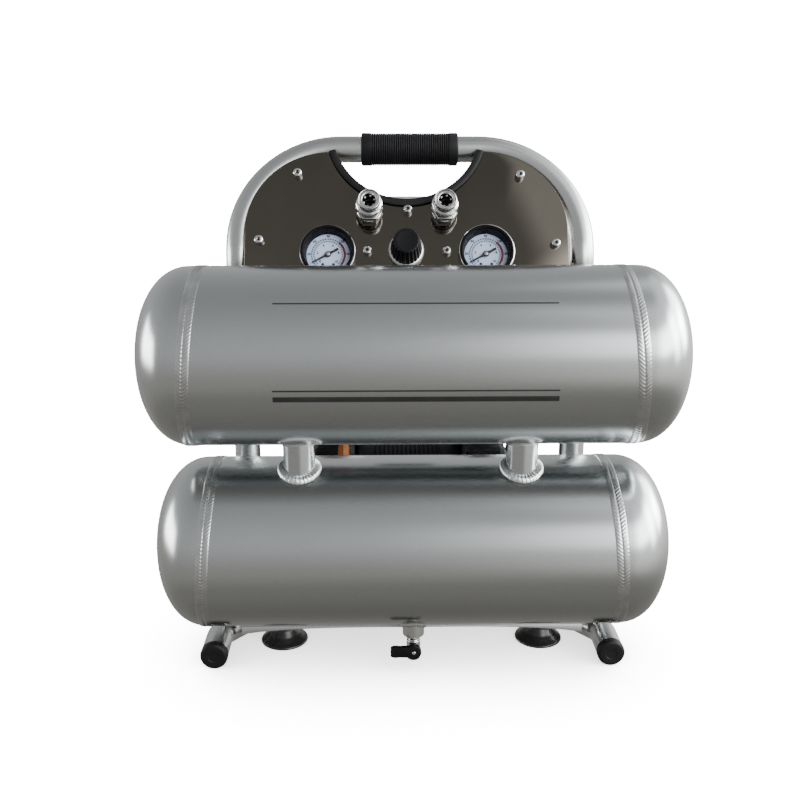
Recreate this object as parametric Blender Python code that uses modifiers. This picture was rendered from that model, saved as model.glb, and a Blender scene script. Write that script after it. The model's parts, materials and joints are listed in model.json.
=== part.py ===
"""Twin-tank airbrush compressor: two linked air tanks on a bent tube frame, with a leaning control
panel under the handle and a twin-cylinder oil-free pump on the base plate behind the tanks.

Metres, +Z up, +X to the right seen from the front, the front faces -Y.
The origin is on the floor, under the middle of the whole machine.
"""
import math

import bmesh
import bpy
from mathutils import Matrix, Vector

# ---------------------------------------------------------------- driving dimensions
MM = 0.001
GAP = 0.3 * MM                      # clearance between pieces that touch

DEPTH = 360 * MM                    # front of the upper tank to the rear edge of the base plate
TANK_R = 78.5 * MM
TANK_WALL = 3 * MM
HEAD_RISE = 41 * MM                 # height of the domed end beyond its straight flange
UPPER_HALF = 240 * MM               # half the overall length of the upper tank
UPPER_SEAM = 185 * MM               # weld seam, from the middle
UPPER_Y = -DEPTH / 2 + TANK_R
UPPER_Z = 298 * MM
LOWER_HALF = 235.5 * MM
LOWER_SEAM = 181 * MM
LOWER_Y = UPPER_Y + 9 * MM
LOWER_Z = 118.5 * MM

PIPE_X = 100 * MM                   # link pipes between the tanks, to each side of their middle
PIPE_SHIFT = -2.6 * MM              # the pair sits a little to the left in the photo
PIPE_Y = UPPER_Y - 8 * MM
PIPE_R = 14.3 * MM
PIPE_BORE = 11.3 * MM

TUBE_R = 12.7 * MM                  # frame tube, one inch
LEG_X = 165.5 * MM
LEG_Y = UPPER_Y + 112 * MM
LEAN_Z = 369.5 * MM                 # height where the hoop starts to lean back
LEAN = math.radians(28)
HOOP_RISE = 111 * MM                # from there to the handle bar, along the lean
HOOP_CORNER = 98 * MM
FOOT_Z = 13 * MM                    # height of the foot tubes' centre line
FOOT_X = 187 * MM
FOOT_Y = UPPER_Y - 14 * MM          # front end of the foot tubes
CAP_R = 13 * MM
CAP_LENGTH = 8 * MM

GRIP_R = 16 * MM
GRIP_HALF = 47.5 * MM

PLATE_TOP = 29.3 * MM
PLATE_T = 3 * MM
PLATE_FRONT_Y = UPPER_Y + 9 * MM
PLATE_HALF = 174 * MM
PLATE_WAIST = 148 * MM              # half width beside and behind the legs
CUP_X = 126 * MM
CUP_R = 23 * MM
CUP_FRONT_Y = UPPER_Y + 34 * MM
CUP_REAR_Y = DEPTH / 2 - 28 * MM

SHEET_BACK = 13 * MM                # panel sheet, in front of the tube's centre plane
SHEET_T = 2 * MM
SHEET_FRONT = SHEET_BACK + SHEET_T
SHEET_SHIFT = -3.6 * MM             # the sheet and its fittings sit a little to the left in the photo
SHEET_HALF = 155 * MM
SHEET_TOP = 101 * MM
SHEET_CORNER = 80 * MM
SHEET_DROP = 28 * MM                # how far it reaches below the lean line
CUT_R = 78 * MM                     # half-moon under the handle
CUT_S = 123.4 * MM
TRIM_WIDTH = 7 * MM
TRIM_T = 4 * MM
SCREW_PLACES = [(0.8, 40.5), (-38, -1), (37.5, -1.5), (-105, 78), (110, 76), (-141, 10), (142, 6)]
SCREW_HEAD_R = 4.6 * MM
SCREW_SHANK_R = 2.4 * MM

GAUGE_X = 75.4 * MM
GAUGE_S = -3.2 * MM
GAUGE_BEZEL_R = 26.8 * MM
GAUGE_CASE_R = 24 * MM
GAUGE_BORE_R = 22.5 * MM
DIAL_OFF = 12 * MM                  # dial face, along the panel's normal
NEEDLE_REST = math.radians(209)     # needle direction at rest, from +X towards the top

COUPLER_X = 35.9 * MM
COUPLER_S = 40 * MM
COUPLER_END = 43 * MM
SLEEVE_START = 28.5 * MM
SLEEVE_END = 44 * MM

KNOB_X = -1 * MM
KNOB_S = -0.7 * MM
KNOB_START = 20 * MM
KNOB_END = 44 * MM
KNOB_R = 13.2 * MM
KNOB_FLUTES = 16

DRAIN_Y = LOWER_Y - 33 * MM
BOSS_R = 10 * MM
BOSS_BOTTOM = 37.2 * MM
VALVE_R = 6.5 * MM
VALVE_BOTTOM = 12.5 * MM
LEVER_Z = 26.8 * MM
LEVER_REACH = 17 * MM

MOTOR_Y = UPPER_Y + 205 * MM
MOTOR_Z = 98 * MM
MOTOR_R = 56 * MM
MOTOR_HALF = 58 * MM                # half length of the stator housing
STATOR_BORE = 32 * MM
ROTOR_R = 31 * MM
SHAFT_R = 6 * MM
CRANK_LENGTH = 48 * MM              # crankcase, along the shaft
CRANK_HALF_Y = 50 * MM
CRANK_TOP = 156 * MM
CRANK_CAVITY_R = 38 * MM
CYLINDER_BORE = 20 * MM
CYLINDER_R = 27 * MM
CYLINDER_HEIGHT = 58 * MM
FIN_R = 34 * MM
FIN_COUNT = 3
PISTON_STROKE = 14 * MM
FAN_R = 46 * MM
FAN_T = 14 * MM
FAN_BLADES = 7

TANK_STEPS = 32
ROUND_STEPS = 18
SMALL_STEPS = 12


# ---------------------------------------------------------------- helpers
def clear_scene():
    for obj in list(bpy.data.objects):
        bpy.data.objects.remove(obj, do_unlink=True)


def new_collection(name):
    group = bpy.data.collections.new(name)
    bpy.context.scene.collection.children.link(group)
    return group


def material(name, colour, roughness, metallic=0.0):
    made = bpy.data.materials.new(name)
    made.use_nodes = True
    shader = made.node_tree.nodes["Principled BSDF"]
    shader.inputs["Base Color"].default_value = (*colour, 1.0)
    shader.inputs["Roughness"].default_value = roughness
    shader.inputs["Metallic"].default_value = metallic
    return made


def place(obj, name, finish, at=None, parent=None):
    """Name an object, give it its own material and stand it at a matrix, inside a parent's frame."""
    obj.name = name
    obj.data.name = name
    obj.data.materials.clear()
    obj.data.materials.append(material(name + "_finish", *finish))
    if parent:
        obj.parent = parent
    obj.matrix_basis = at or Matrix.Identity(4)
    PARTS.objects.link(obj)
    return obj


def mesh_object(shape, name="shape", smooth=True):
    mesh = bpy.data.meshes.new(name)
    bmesh.ops.recalc_face_normals(shape, faces=shape.faces)
    shape.to_mesh(mesh)
    shape.free()
    if smooth:
        mesh.shade_smooth()
        mesh.set_sharp_from_angle(angle=math.radians(35))
    return bpy.data.objects.new(name, mesh)


def shift(x=0.0, y=0.0, z=0.0):
    return Matrix.Translation((x, y, z))


def along_x(x, y, z, side=1):
    """A frame whose local +Z runs along +X, or along -X when side is -1."""
    return shift(x, y, z) @ Matrix.Rotation(side * math.pi / 2, 4, "Y")


def along_front(x, y, z):
    """A frame whose local +Z runs to the front, along -Y."""
    return shift(x, y, z) @ Matrix.Rotation(math.pi / 2, 4, "X")


def block(size, centre=(0, 0, 0)):
    shape = bmesh.new()
    bmesh.ops.create_cube(shape, size=1.0, matrix=Matrix.Translation(centre) @ Matrix.Diagonal((*size, 1)))
    return mesh_object(shape, smooth=False)


def rounded_block(size, centre, radius, steps=2):
    obj = block(size, centre)
    soften = obj.modifiers.new("edges", "BEVEL")
    soften.width = radius
    soften.segments = steps
    soften.limit_method = "ANGLE"
    return obj


def rod(radius, bottom, top, steps=ROUND_STEPS, top_radius=None):
    """A cylinder or cone along local Z."""
    shape = bmesh.new()
    middle = Matrix.Translation((0, 0, (bottom + top) / 2))
    end = radius if top_radius is None else top_radius
    bmesh.ops.create_cone(shape, cap_ends=True, segments=steps, radius1=radius, radius2=end,
                          depth=top - bottom, matrix=middle)
    return mesh_object(shape)


def turned(profile, steps=ROUND_STEPS, ring=False):
    """Turn a profile of (radius, height) pairs, given down its outer side, about local Z."""
    mesh = bpy.data.meshes.new("profile")
    edges = [(i, i + 1) for i in range(len(profile) - 1)]
    if ring:
        edges.append((len(profile) - 1, 0))
    mesh.from_pydata([(r, 0, z) for r, z in profile], edges, [])
    obj = bpy.data.objects.new("turned", mesh)
    screw = obj.modifiers.new("turn", "SCREW")
    screw.axis = "Z"
    screw.steps = steps
    screw.render_steps = steps
    screw.use_merge_vertices = True
    screw.merge_threshold = 0.00001
    screw.use_smooth_shade = True
    return obj


def pierce(obj, cutter, operation="DIFFERENCE"):
    """Cut an object with another, or join the other to it. Both are given in the same frame."""
    cutter.name = "cutter"
    cutter.hide_render = True
    cutter.display_type = "WIRE"
    GUIDES.objects.link(cutter)
    change = obj.modifiers.new(operation.lower(), "BOOLEAN")
    change.operation = operation
    change.solver = "EXACT"
    change.object = cutter
    return cutter


def settle(obj):
    """Turn an object's modifiers or curve into a plain welded mesh, so that it can cut or be cut."""
    holder = bpy.context.scene.collection
    holder.objects.link(obj)
    bpy.context.view_layer.update()
    result = obj.evaluated_get(bpy.context.evaluated_depsgraph_get())
    mesh = bpy.data.meshes.new_from_object(result)
    shape = bmesh.new()
    shape.from_mesh(mesh)
    bmesh.ops.remove_doubles(shape, verts=shape.verts, dist=0.000005)
    bpy.data.objects.remove(obj, do_unlink=True)
    return mesh_object(shape)


def tube(points, radius, sides=3, name="tube"):
    """A round bar or pipe along points, as a curve with filled ends."""
    curve = bpy.data.curves.new(name, "CURVE")
    curve.dimensions = "3D"
    curve.bevel_depth = radius
    curve.bevel_resolution = sides
    curve.use_fill_caps = True
    spline = curve.splines.new("POLY")
    spline.points.add(len(points) - 1)
    for target, point in zip(spline.points, points):
        target.co = (*point, 1)
    return bpy.data.objects.new(name, curve)


def sheet(outlines, thickness):
    """A flat plate in local XY from closed outlines: the first is its edge, the rest are holes."""
    curve = bpy.data.curves.new("sheet", "CURVE")
    curve.dimensions = "2D"
    curve.fill_mode = "BOTH"
    curve.extrude = thickness / 2
    for outline in outlines:
        spline = curve.splines.new("POLY")
        spline.points.add(len(outline) - 1)
        spline.use_cyclic_u = True
        for target, (x, y) in zip(spline.points, outline):
            target.co = (x, y, 0, 1)
    return settle(bpy.data.objects.new("sheet", curve))


def arc(cx, cy, radius, start, end, count):
    """Points on an arc in a plane, angles in degrees."""
    steps = [math.radians(start + (end - start) * i / count) for i in range(count + 1)]
    return [(cx + radius * math.cos(a), cy + radius * math.sin(a)) for a in steps]


def circle(cx, cy, radius, count=ROUND_STEPS):
    return arc(cx, cy, radius, 0, 360, count)[:-1]


def rounded_path(corners, step=math.radians(14)):
    """A polyline through (point, radius) corners, each rounded to its radius."""
    points = [corners[0][0]]
    for (before, _), (corner, radius), (after, _) in zip(corners, corners[1:], corners[2:]):
        back = (before - corner).normalized()
        ahead = (after - corner).normalized()
        turn = math.pi - back.angle(ahead)
        reach = radius * math.tan(turn / 2)
        centre = corner + (back + ahead).normalized() * math.hypot(radius, reach)
        start = corner + back * reach - centre
        axis = start.cross(corner + ahead * reach - centre).normalized()
        count = max(2, round(turn / step))
        for i in range(count + 1):
            points.append(centre + Matrix.Rotation(turn * i / count, 3, axis) @ start)
    points.append(corners[-1][0])
    return points


# ---------------------------------------------------------------- finishes: colour, roughness, metallic
ALUMINIUM = ((0.55, 0.56, 0.55), 0.35, 0.9)
SILVER_PAINT = ((0.60, 0.61, 0.60), 0.40, 0.6)
MIRROR = ((0.30, 0.28, 0.25), 0.08, 1.0)
CHROME = ((0.75, 0.75, 0.76), 0.12, 1.0)
BRASS = ((0.72, 0.53, 0.25), 0.25, 1.0)
COPPER = ((0.72, 0.36, 0.20), 0.30, 1.0)
RUBBER = ((0.015, 0.015, 0.016), 0.75)
BLACK_PLASTIC = ((0.02, 0.02, 0.022), 0.45)
CAST = ((0.42, 0.43, 0.44), 0.50, 0.8)
STEEL = ((0.50, 0.50, 0.52), 0.30, 1.0)
GLASS = ((0.90, 0.95, 0.97), 0.05)
DIAL_RED = ((0.55, 0.04, 0.03), 0.5)


# ---------------------------------------------------------------- tanks
def tank_shell(name, y, z, seam):
    """The rolled middle of a tank: an open pipe along X, drilled for what is welded to it."""
    body = turned([(TANK_R, seam - GAP / 2), (TANK_R, GAP / 2 - seam),
                   (TANK_R - TANK_WALL, GAP / 2 - seam), (TANK_R - TANK_WALL, seam - GAP / 2)],
                  TANK_STEPS, ring=True)
    return place(body, name, ALUMINIUM, along_x(0, y, z))


def tank_head(name, y, z, seam, half, side):
    """A pressed end: a straight flange from the seam, then half an ellipse."""
    count = 5
    flange = half - HEAD_RISE
    outer = [(TANK_R * math.sin(math.radians(90 * i / count)),
              flange + HEAD_RISE * math.cos(math.radians(90 * i / count))) for i in range(count + 1)]
    inner_r = TANK_R - TANK_WALL
    inner_rise = HEAD_RISE - TANK_WALL
    inner = [(inner_r * math.sin(math.radians(90 * i / count)),
              flange + inner_rise * math.cos(math.radians(90 * i / count))) for i in range(count, -1, -1)]
    seam_face = [(TANK_R, seam + GAP / 2), (inner_r, seam + GAP / 2)]
    body = turned(outer + seam_face + inner, TANK_STEPS)
    return place(body, name, ALUMINIUM, along_x(0, y, z, side))


def tanks():
    upper = tank_shell("upper_tank_shell", UPPER_Y, UPPER_Z, UPPER_SEAM)
    lower = tank_shell("lower_tank_shell", LOWER_Y, LOWER_Z, LOWER_SEAM)
    for side, word in ((-1, "left"), (1, "right")):
        tank_head("upper_tank_head_" + word, UPPER_Y, UPPER_Z, UPPER_SEAM, UPPER_HALF, side)
        tank_head("lower_tank_head_" + word, LOWER_Y, LOWER_Z, LOWER_SEAM, LOWER_HALF, side)
        hole = rod(PIPE_BORE, LOWER_Z, UPPER_Z, SMALL_STEPS)
        hole.matrix_basis = shift(PIPE_SHIFT + side * PIPE_X, PIPE_Y, 0)
        pierce(upper, hole)
        second = hole.copy()
        pierce(lower, second)
    drain = rod(BOSS_R / 2, 0, LOWER_Z, SMALL_STEPS)
    drain.matrix_basis = shift(0, DRAIN_Y, 0)
    pierce(lower, drain)


def tank_cutter(y, z):
    body = rod(TANK_R + GAP, -UPPER_SEAM, UPPER_SEAM, TANK_STEPS * 2)
    body.matrix_basis = along_x(0, y, z)
    return body


def link_pipes():
    """Two short pipes that carry the upper tank and join the air spaces."""
    for side, word in ((-1, "left"), (1, "right")):
        pipe = settle(turned([(PIPE_R, UPPER_Z), (PIPE_R, LOWER_Z), (PIPE_BORE, LOWER_Z), (PIPE_BORE, UPPER_Z)],
                             SMALL_STEPS + 8, ring=True))
        place(pipe, "tank_link_pipe_" + word, ALUMINIUM, shift(PIPE_SHIFT + side * PIPE_X, PIPE_Y, 0))
        pierce(pipe, tank_cutter(UPPER_Y, UPPER_Z))
        pierce(pipe, tank_cutter(LOWER_Y, LOWER_Z))


def drain():
    """The boss under the lower tank, the drain cock in it and the cock's quarter-turn lever."""
    boss = settle(turned([(BOSS_R, LOWER_Z), (BOSS_R, BOSS_BOTTOM), (BOSS_R / 2, BOSS_BOTTOM),
                          (BOSS_R / 2, LOWER_Z)], ROUND_STEPS, ring=True))
    place(boss, "drain_boss", ALUMINIUM, shift(0, DRAIN_Y, 0))
    pierce(boss, tank_cutter(LOWER_Y, LOWER_Z))

    top = BOSS_BOTTOM - GAP
    valve = settle(turned([(0, top), (VALVE_R + 1.2 * MM, top), (VALVE_R + 1.2 * MM, top - 5 * MM),
                           (VALVE_R, top - 6 * MM), (VALVE_R, VALVE_BOTTOM + 2 * MM),
                           (VALVE_R - 1.5 * MM, VALVE_BOTTOM), (0, VALVE_BOTTOM)], SMALL_STEPS))
    place(valve, "drain_valve_body", CHROME, shift(0, DRAIN_Y, 0))
    stem = rod(3.6 * MM, 0, 18 * MM, SMALL_STEPS)
    stem.matrix_basis = along_front(0, DRAIN_Y, LEVER_Z)
    pierce(valve, stem, "UNION")

    half = 4.9 * MM
    arm = arc(0, 0, 7.0 * MM, -132, 132, 12)
    tip = [(-LEVER_REACH + 1.5 * MM, half), (-LEVER_REACH, half - 1.5 * MM)]
    outline = arm + tip + [(x, -y) for x, y in reversed(tip)]
    lever = sheet([outline, circle(0, 0, 3.9 * MM, SMALL_STEPS)], 5 * MM)
    place(lever, "drain_lever", BLACK_PLASTIC, along_front(0, DRAIN_Y - 13.5 * MM, LEVER_Z))


# ---------------------------------------------------------------- frame and feet
def lean_frame():
    """An empty on the leaning hoop: local X to the right, Y up the panel, Z out of it to the front."""
    frame = bpy.data.objects.new("lean_frame", None)
    frame.matrix_basis = shift(0, LEG_Y, LEAN_Z) @ Matrix.Rotation(math.pi / 2 - LEAN, 4, "X")
    GUIDES.objects.link(frame)
    return frame


def frame_tube():
    """One bent tube: foot, leg, hoop and the same again on the other side."""
    up_lean = Vector((0, math.sin(LEAN), math.cos(LEAN)))
    half = []
    half.append((Vector((-FOOT_X, FOOT_Y, FOOT_Z)), 0))
    half.append((Vector((-FOOT_X, FOOT_Y + 37 * MM, FOOT_Z)), 25 * MM))
    half.append((Vector((-LEG_X, FOOT_Y + 63 * MM, FOOT_Z)), 25 * MM))
    half.append((Vector((-LEG_X, LEG_Y, FOOT_Z)), 46 * MM))
    half.append((Vector((-LEG_X, LEG_Y, LEAN_Z)), 40 * MM))
    half.append((Vector((-LEG_X, LEG_Y, LEAN_Z)) + up_lean * HOOP_RISE, HOOP_CORNER))
    other = [(Vector((-p.x, p.y, p.z)), r) for p, r in reversed(half)]
    path = rounded_path(half + other)
    place(tube(path, TUBE_R), "frame_tube", SILVER_PAINT)


def handle_grip(frame):
    """A ribbed sleeve round the handle bar."""
    inner = TUBE_R + GAP
    profile = [(GRIP_R - 1 * MM, GRIP_HALF), (GRIP_R, GRIP_HALF - 1 * MM), (GRIP_R, 1 * MM - GRIP_HALF),
               (GRIP_R - 1 * MM, -GRIP_HALF), (inner, -GRIP_HALF), (inner, GRIP_HALF)]
    place(turned(profile, ROUND_STEPS, ring=True), "handle_grip", RUBBER, along_x(0, HOOP_RISE, 0), frame)


def feet():
    """End caps on the foot tubes and four rubber cups under the base plate."""
    for side, word in ((-1, "left"), (1, "right")):
        cap = turned([(0, CAP_LENGTH), (CAP_R - 2 * MM, CAP_LENGTH), (CAP_R, CAP_LENGTH - 2 * MM), (CAP_R, 0),
                      (0, 0)], ROUND_STEPS)
        place(cap, "foot_cap_" + word, RUBBER, along_front(side * FOOT_X, FOOT_Y - GAP, FOOT_Z))
        for y, end in ((CUP_FRONT_Y, "front"), (CUP_REAR_Y, "rear")):
            top = PLATE_TOP - PLATE_T - GAP
            cup = turned([(0, top), (11 * MM, top), (11 * MM, top - 6 * MM), (13 * MM, 12 * MM), (20 * MM, 5 * MM),
                          (CUP_R, 2 * MM), (CUP_R, 0), (CUP_R - 4 * MM, 0), (10 * MM, 5 * MM), (0, 7 * MM)],
                         ROUND_STEPS)
            place(cup, f"foot_cup_{end}_{word}", RUBBER, shift(side * CUP_X, y, 0))


def base_plate():
    """A pressed plate across the foot tubes: wide in front, narrow between and behind the legs."""
    back = DEPTH / 2
    shoulder = LEG_Y - 62 * MM
    half = [(PLATE_HALF, PLATE_FRONT_Y), (PLATE_HALF, shoulder), (PLATE_WAIST, shoulder + 6 * MM),
            (PLATE_WAIST, back - 10 * MM), (PLATE_WAIST - 10 * MM, back)]
    outline = half + [(-x, y) for x, y in reversed(half)]
    plate = sheet([outline], PLATE_T)
    place(plate, "base_plate", SILVER_PAINT, shift(0, 0, PLATE_TOP - PLATE_T / 2))


# ---------------------------------------------------------------- control panel
def sheet_frame(lean):
    """An empty on the hoop's, moved to the sheet's own middle."""
    frame = bpy.data.objects.new("sheet_frame", None)
    frame.parent = lean
    frame.matrix_basis = shift(SHEET_SHIFT, 0, 0)
    GUIDES.objects.link(frame)
    return frame


def panel_outline():
    """The sheet's edge with the half-moon under the handle."""
    meet = math.degrees(math.asin((SHEET_TOP - CUT_S) / CUT_R))
    moon = arc(0, CUT_S, CUT_R, meet, -180 - meet, 24)
    right = arc(SHEET_HALF - SHEET_CORNER, SHEET_TOP - SHEET_CORNER, SHEET_CORNER, 0, 90, 9)
    left = [(-x, y) for x, y in reversed(right)]
    return [(-SHEET_HALF, -SHEET_DROP), (SHEET_HALF, -SHEET_DROP)] + right + moon + left


def control_panel(frame):
    holes = [panel_outline()]
    for side in (-1, 1):
        holes.append(circle(side * GAUGE_X, GAUGE_S, GAUGE_CASE_R + GAP * 2))
        holes.append(circle(side * COUPLER_X, COUPLER_S, 9 * MM, SMALL_STEPS))
    holes.append(circle(KNOB_X, KNOB_S, 9 * MM, SMALL_STEPS))
    for x, s in SCREW_PLACES:
        holes.append(circle(x * MM, s * MM, SCREW_SHANK_R + GAP, 8))
    panel = sheet(holes, SHEET_T)
    place(panel, "control_panel", MIRROR, shift(0, 0, SHEET_BACK + SHEET_T / 2), frame)


def panel_edge_trim(frame):
    """A rubber strip that lines the half-moon's edge."""
    top = SHEET_TOP - 1 * MM
    inner = CUT_R - GAP
    meet = math.degrees(math.asin((top - CUT_S) / inner))
    outer_arc = arc(0, CUT_S, inner, meet, -180 - meet, 20)
    inner_arc = arc(0, CUT_S, inner - TRIM_WIDTH, -180 - meet, meet, 20)
    strip = sheet([outer_arc + inner_arc], TRIM_T)
    place(strip, "panel_edge_trim", RUBBER, shift(0, 0, SHEET_BACK + TRIM_T / 2), frame)


def panel_screws(frame):
    bottom = SHEET_FRONT + GAP
    for number, (x, s) in enumerate(SCREW_PLACES, 1):
        screw = turned([(0, bottom + 3.2 * MM), (SCREW_HEAD_R * 0.6, bottom + 2.7 * MM),
                        (SCREW_HEAD_R, bottom + 0.8 * MM), (SCREW_HEAD_R, bottom), (SCREW_SHANK_R, bottom),
                        (SCREW_SHANK_R, 12.8 * MM), (0, 12.8 * MM)], 12)
        place(screw, f"panel_screw_{number}", CHROME, shift(x * MM, s * MM, 0), frame)


def gauge(frame, side, word):
    """A pressure gauge: a case with its dial as the floor, a needle on the centre and a lens."""
    at = shift(side * GAUGE_X, GAUGE_S, 0)
    rim = 24.5 * MM
    seat = SHEET_FRONT + GAP
    case = turned([(0, DIAL_OFF), (GAUGE_BORE_R, DIAL_OFF), (GAUGE_BORE_R, rim), (GAUGE_BEZEL_R - 2 * MM, rim),
                   (GAUGE_BEZEL_R, rim - 2 * MM), (GAUGE_BEZEL_R, seat), (GAUGE_CASE_R, seat),
                   (GAUGE_CASE_R, -8 * MM), (0, -8 * MM)], ROUND_STEPS + 8)
    place(case, "gauge_case_" + word, BLACK_PLASTIC, at, frame)

    hub = arc(0, 0, 3 * MM, 40, 320, 10)
    tail = [(-8 * MM, -1.4 * MM), (-8 * MM, 1.4 * MM)]
    outline = [(17 * MM, -0.25 * MM), (17 * MM, 0.25 * MM)] + hub[:5] + tail[::-1] + hub[-5:]
    needle = sheet([outline], 1 * MM)
    spin = Matrix.Rotation(NEEDLE_REST, 4, "Z")
    place(needle, "gauge_needle_" + word, BLACK_PLASTIC, at @ shift(z=DIAL_OFF + 2.2 * MM) @ spin, frame)

    lens = rod(GAUGE_BORE_R - GAP, 20.5 * MM, 22.3 * MM, ROUND_STEPS + 8)
    place(lens, "gauge_lens_" + word, GLASS, at, frame)


def coupler(frame, side, word):
    """A quick coupler: a drilled body with a hexagon and a spring sleeve that slides back."""
    at = shift(side * COUPLER_X, COUPLER_S, 0)
    seat = SHEET_FRONT + GAP
    barrel = 9 * MM
    bore = 6 * MM
    body = settle(turned([(bore, COUPLER_END), (barrel, COUPLER_END), (barrel, seat + 2 * MM), (11 * MM, seat + 2 * MM),
                          (11 * MM, seat), (8.5 * MM, seat), (8.5 * MM, 13 * MM), (0, 13 * MM), (0, 18 * MM),
                          (bore, 20 * MM)], ROUND_STEPS, ring=False))
    body = close_ring(body)
    place(body, "coupler_body_" + word, CHROME, at, frame)
    nut = rod(13 * MM, 15.4 * MM, 23 * MM, 6)
    nut.parent = frame
    nut.matrix_basis = at
    pierce(body, nut, "UNION")

    inner = barrel + GAP
    sleeve = turned([(10.8 * MM, SLEEVE_END), (10.8 * MM, 34 * MM), (12.6 * MM, 33 * MM), (12.6 * MM, 29.5 * MM),
                     (11.6 * MM, SLEEVE_START), (inner, SLEEVE_START), (inner, SLEEVE_END)], ROUND_STEPS, ring=True)
    place(sleeve, "coupler_sleeve_" + word, CHROME, at, frame)


def close_ring(obj):
    """Close the open edge that a profile leaves where its two ends meet away from the axis."""
    shape = bmesh.new()
    shape.from_mesh(obj.data)
    rim = [e for e in shape.edges if e.is_boundary]
    if rim:
        bmesh.ops.bridge_loops(shape, edges=rim)
    bmesh.ops.recalc_face_normals(shape, faces=shape.faces)
    shape.to_mesh(obj.data)
    shape.free()
    return obj


def regulator(frame):
    """The regulator cast with the block that feeds the couplers, and its fluted knob."""
    seat = SHEET_FRONT + GAP
    back = SHEET_BACK - GAP
    body = settle(turned([(0, 19.5 * MM), (17 * MM, 19 * MM), (17 * MM, seat), (8.5 * MM, seat), (8.5 * MM, back),
                          (16 * MM, back), (16 * MM, -25 * MM), (0, -25 * MM)], ROUND_STEPS))
    place(body, "regulator_manifold", CAST, shift(KNOB_X, KNOB_S, 0), frame)
    feed = block((96 * MM, 48 * MM, 32 * MM), (0, COUPLER_S - 8 * MM, back - 16 * MM))
    feed.parent = frame
    pierce(body, feed, "UNION")

    count = KNOB_FLUTES * 2
    outline = []
    for i in range(count):
        angle = 2 * math.pi * i / count
        r = KNOB_R - 1.1 * MM * (0.5 - 0.5 * math.cos(KNOB_FLUTES * angle))
        outline.append((r * math.cos(angle), r * math.sin(angle)))
    knob = sheet([outline], KNOB_END - KNOB_START)
    place(knob, "regulator_knob", BLACK_PLASTIC, shift(KNOB_X, KNOB_S, (KNOB_START + KNOB_END) / 2), frame)


def pressure_switch(frame):
    """The switch box on the back of the regulator, with its on-off lever on one side."""
    box = rounded_block((64 * MM, 50 * MM, 52 * MM), (0, -13 * MM, -51.5 * MM), 4 * MM)
    place(box, "pressure_switch", BLACK_PLASTIC, None, frame)
    arm = [(-4 * MM, -4 * MM), (4 * MM, -4 * MM), (3 * MM, 26 * MM), (-3 * MM, 26 * MM)]
    lever = sheet([arm], 5 * MM)
    side_on = shift(35 * MM, -5 * MM, -52 * MM) @ Matrix.Rotation(math.pi / 2, 4, "Y")
    place(lever, "switch_lever", DIAL_RED, side_on, frame)


def safety_valve(frame):
    """The relief valve in the end of the manifold, with the pull ring on its stem."""
    at = shift(-48.3 * MM, COUPLER_S + 4 * MM, -4 * MM) @ Matrix.Rotation(-math.pi / 2, 4, "Y")
    body = turned([(0, 26 * MM), (4.5 * MM, 26 * MM), (6 * MM, 24 * MM), (6 * MM, 10 * MM), (8 * MM, 9 * MM),
                   (8 * MM, 0), (0, 0)], SMALL_STEPS)
    place(body, "safety_valve", BRASS, at, frame)
    ring = tube([Vector((9 * MM * math.cos(a), 0, 9 * MM * math.sin(a) + 10.5 * MM))
                 for a in [2 * math.pi * i / 20 for i in range(20)]], 1.1 * MM, 1)
    ring.data.splines[0].use_cyclic_u = True
    ring.data.use_fill_caps = False
    place(ring, "safety_pull_ring", STEEL, at @ shift(z=26.6 * MM), frame)


# ---------------------------------------------------------------- pump
def motor():
    """The stator housing, and the shaft with its rotor and a cooling fan on each end."""
    housing = turned([(MOTOR_R, MOTOR_HALF), (MOTOR_R, -MOTOR_HALF), (STATOR_BORE, -MOTOR_HALF),
                      (STATOR_BORE, MOTOR_HALF)], TANK_STEPS, ring=True)
    place(housing, "motor_housing", CAST, along_x(0, MOTOR_Y, MOTOR_Z))

    end = MOTOR_HALF + CRANK_LENGTH + 4 * MM
    half = [(0, end), (SHAFT_R, end), (SHAFT_R, 36 * MM), (ROTOR_R, 36 * MM)]
    profile = half + [(r, -z) for r, z in reversed(half)]
    place(turned(profile, ROUND_STEPS), "motor_shaft", STEEL, along_x(0, MOTOR_Y, MOTOR_Z))

    for side, word in ((-1, "left"), (1, "right")):
        outline = []
        for i in range(FAN_BLADES):
            for angle, r in ((0.0, 14 * MM), (0.30, 14 * MM), (0.42, FAN_R), (0.62, FAN_R)):
                turn = 2 * math.pi * (i + angle) / FAN_BLADES
                outline.append((r * math.cos(turn), r * math.sin(turn)))
        fan = sheet([outline], FAN_T)
        place(fan, "cooling_fan_" + word, BLACK_PLASTIC,
              along_x(side * (end + GAP + FAN_T / 2), MOTOR_Y, MOTOR_Z, side))


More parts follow.
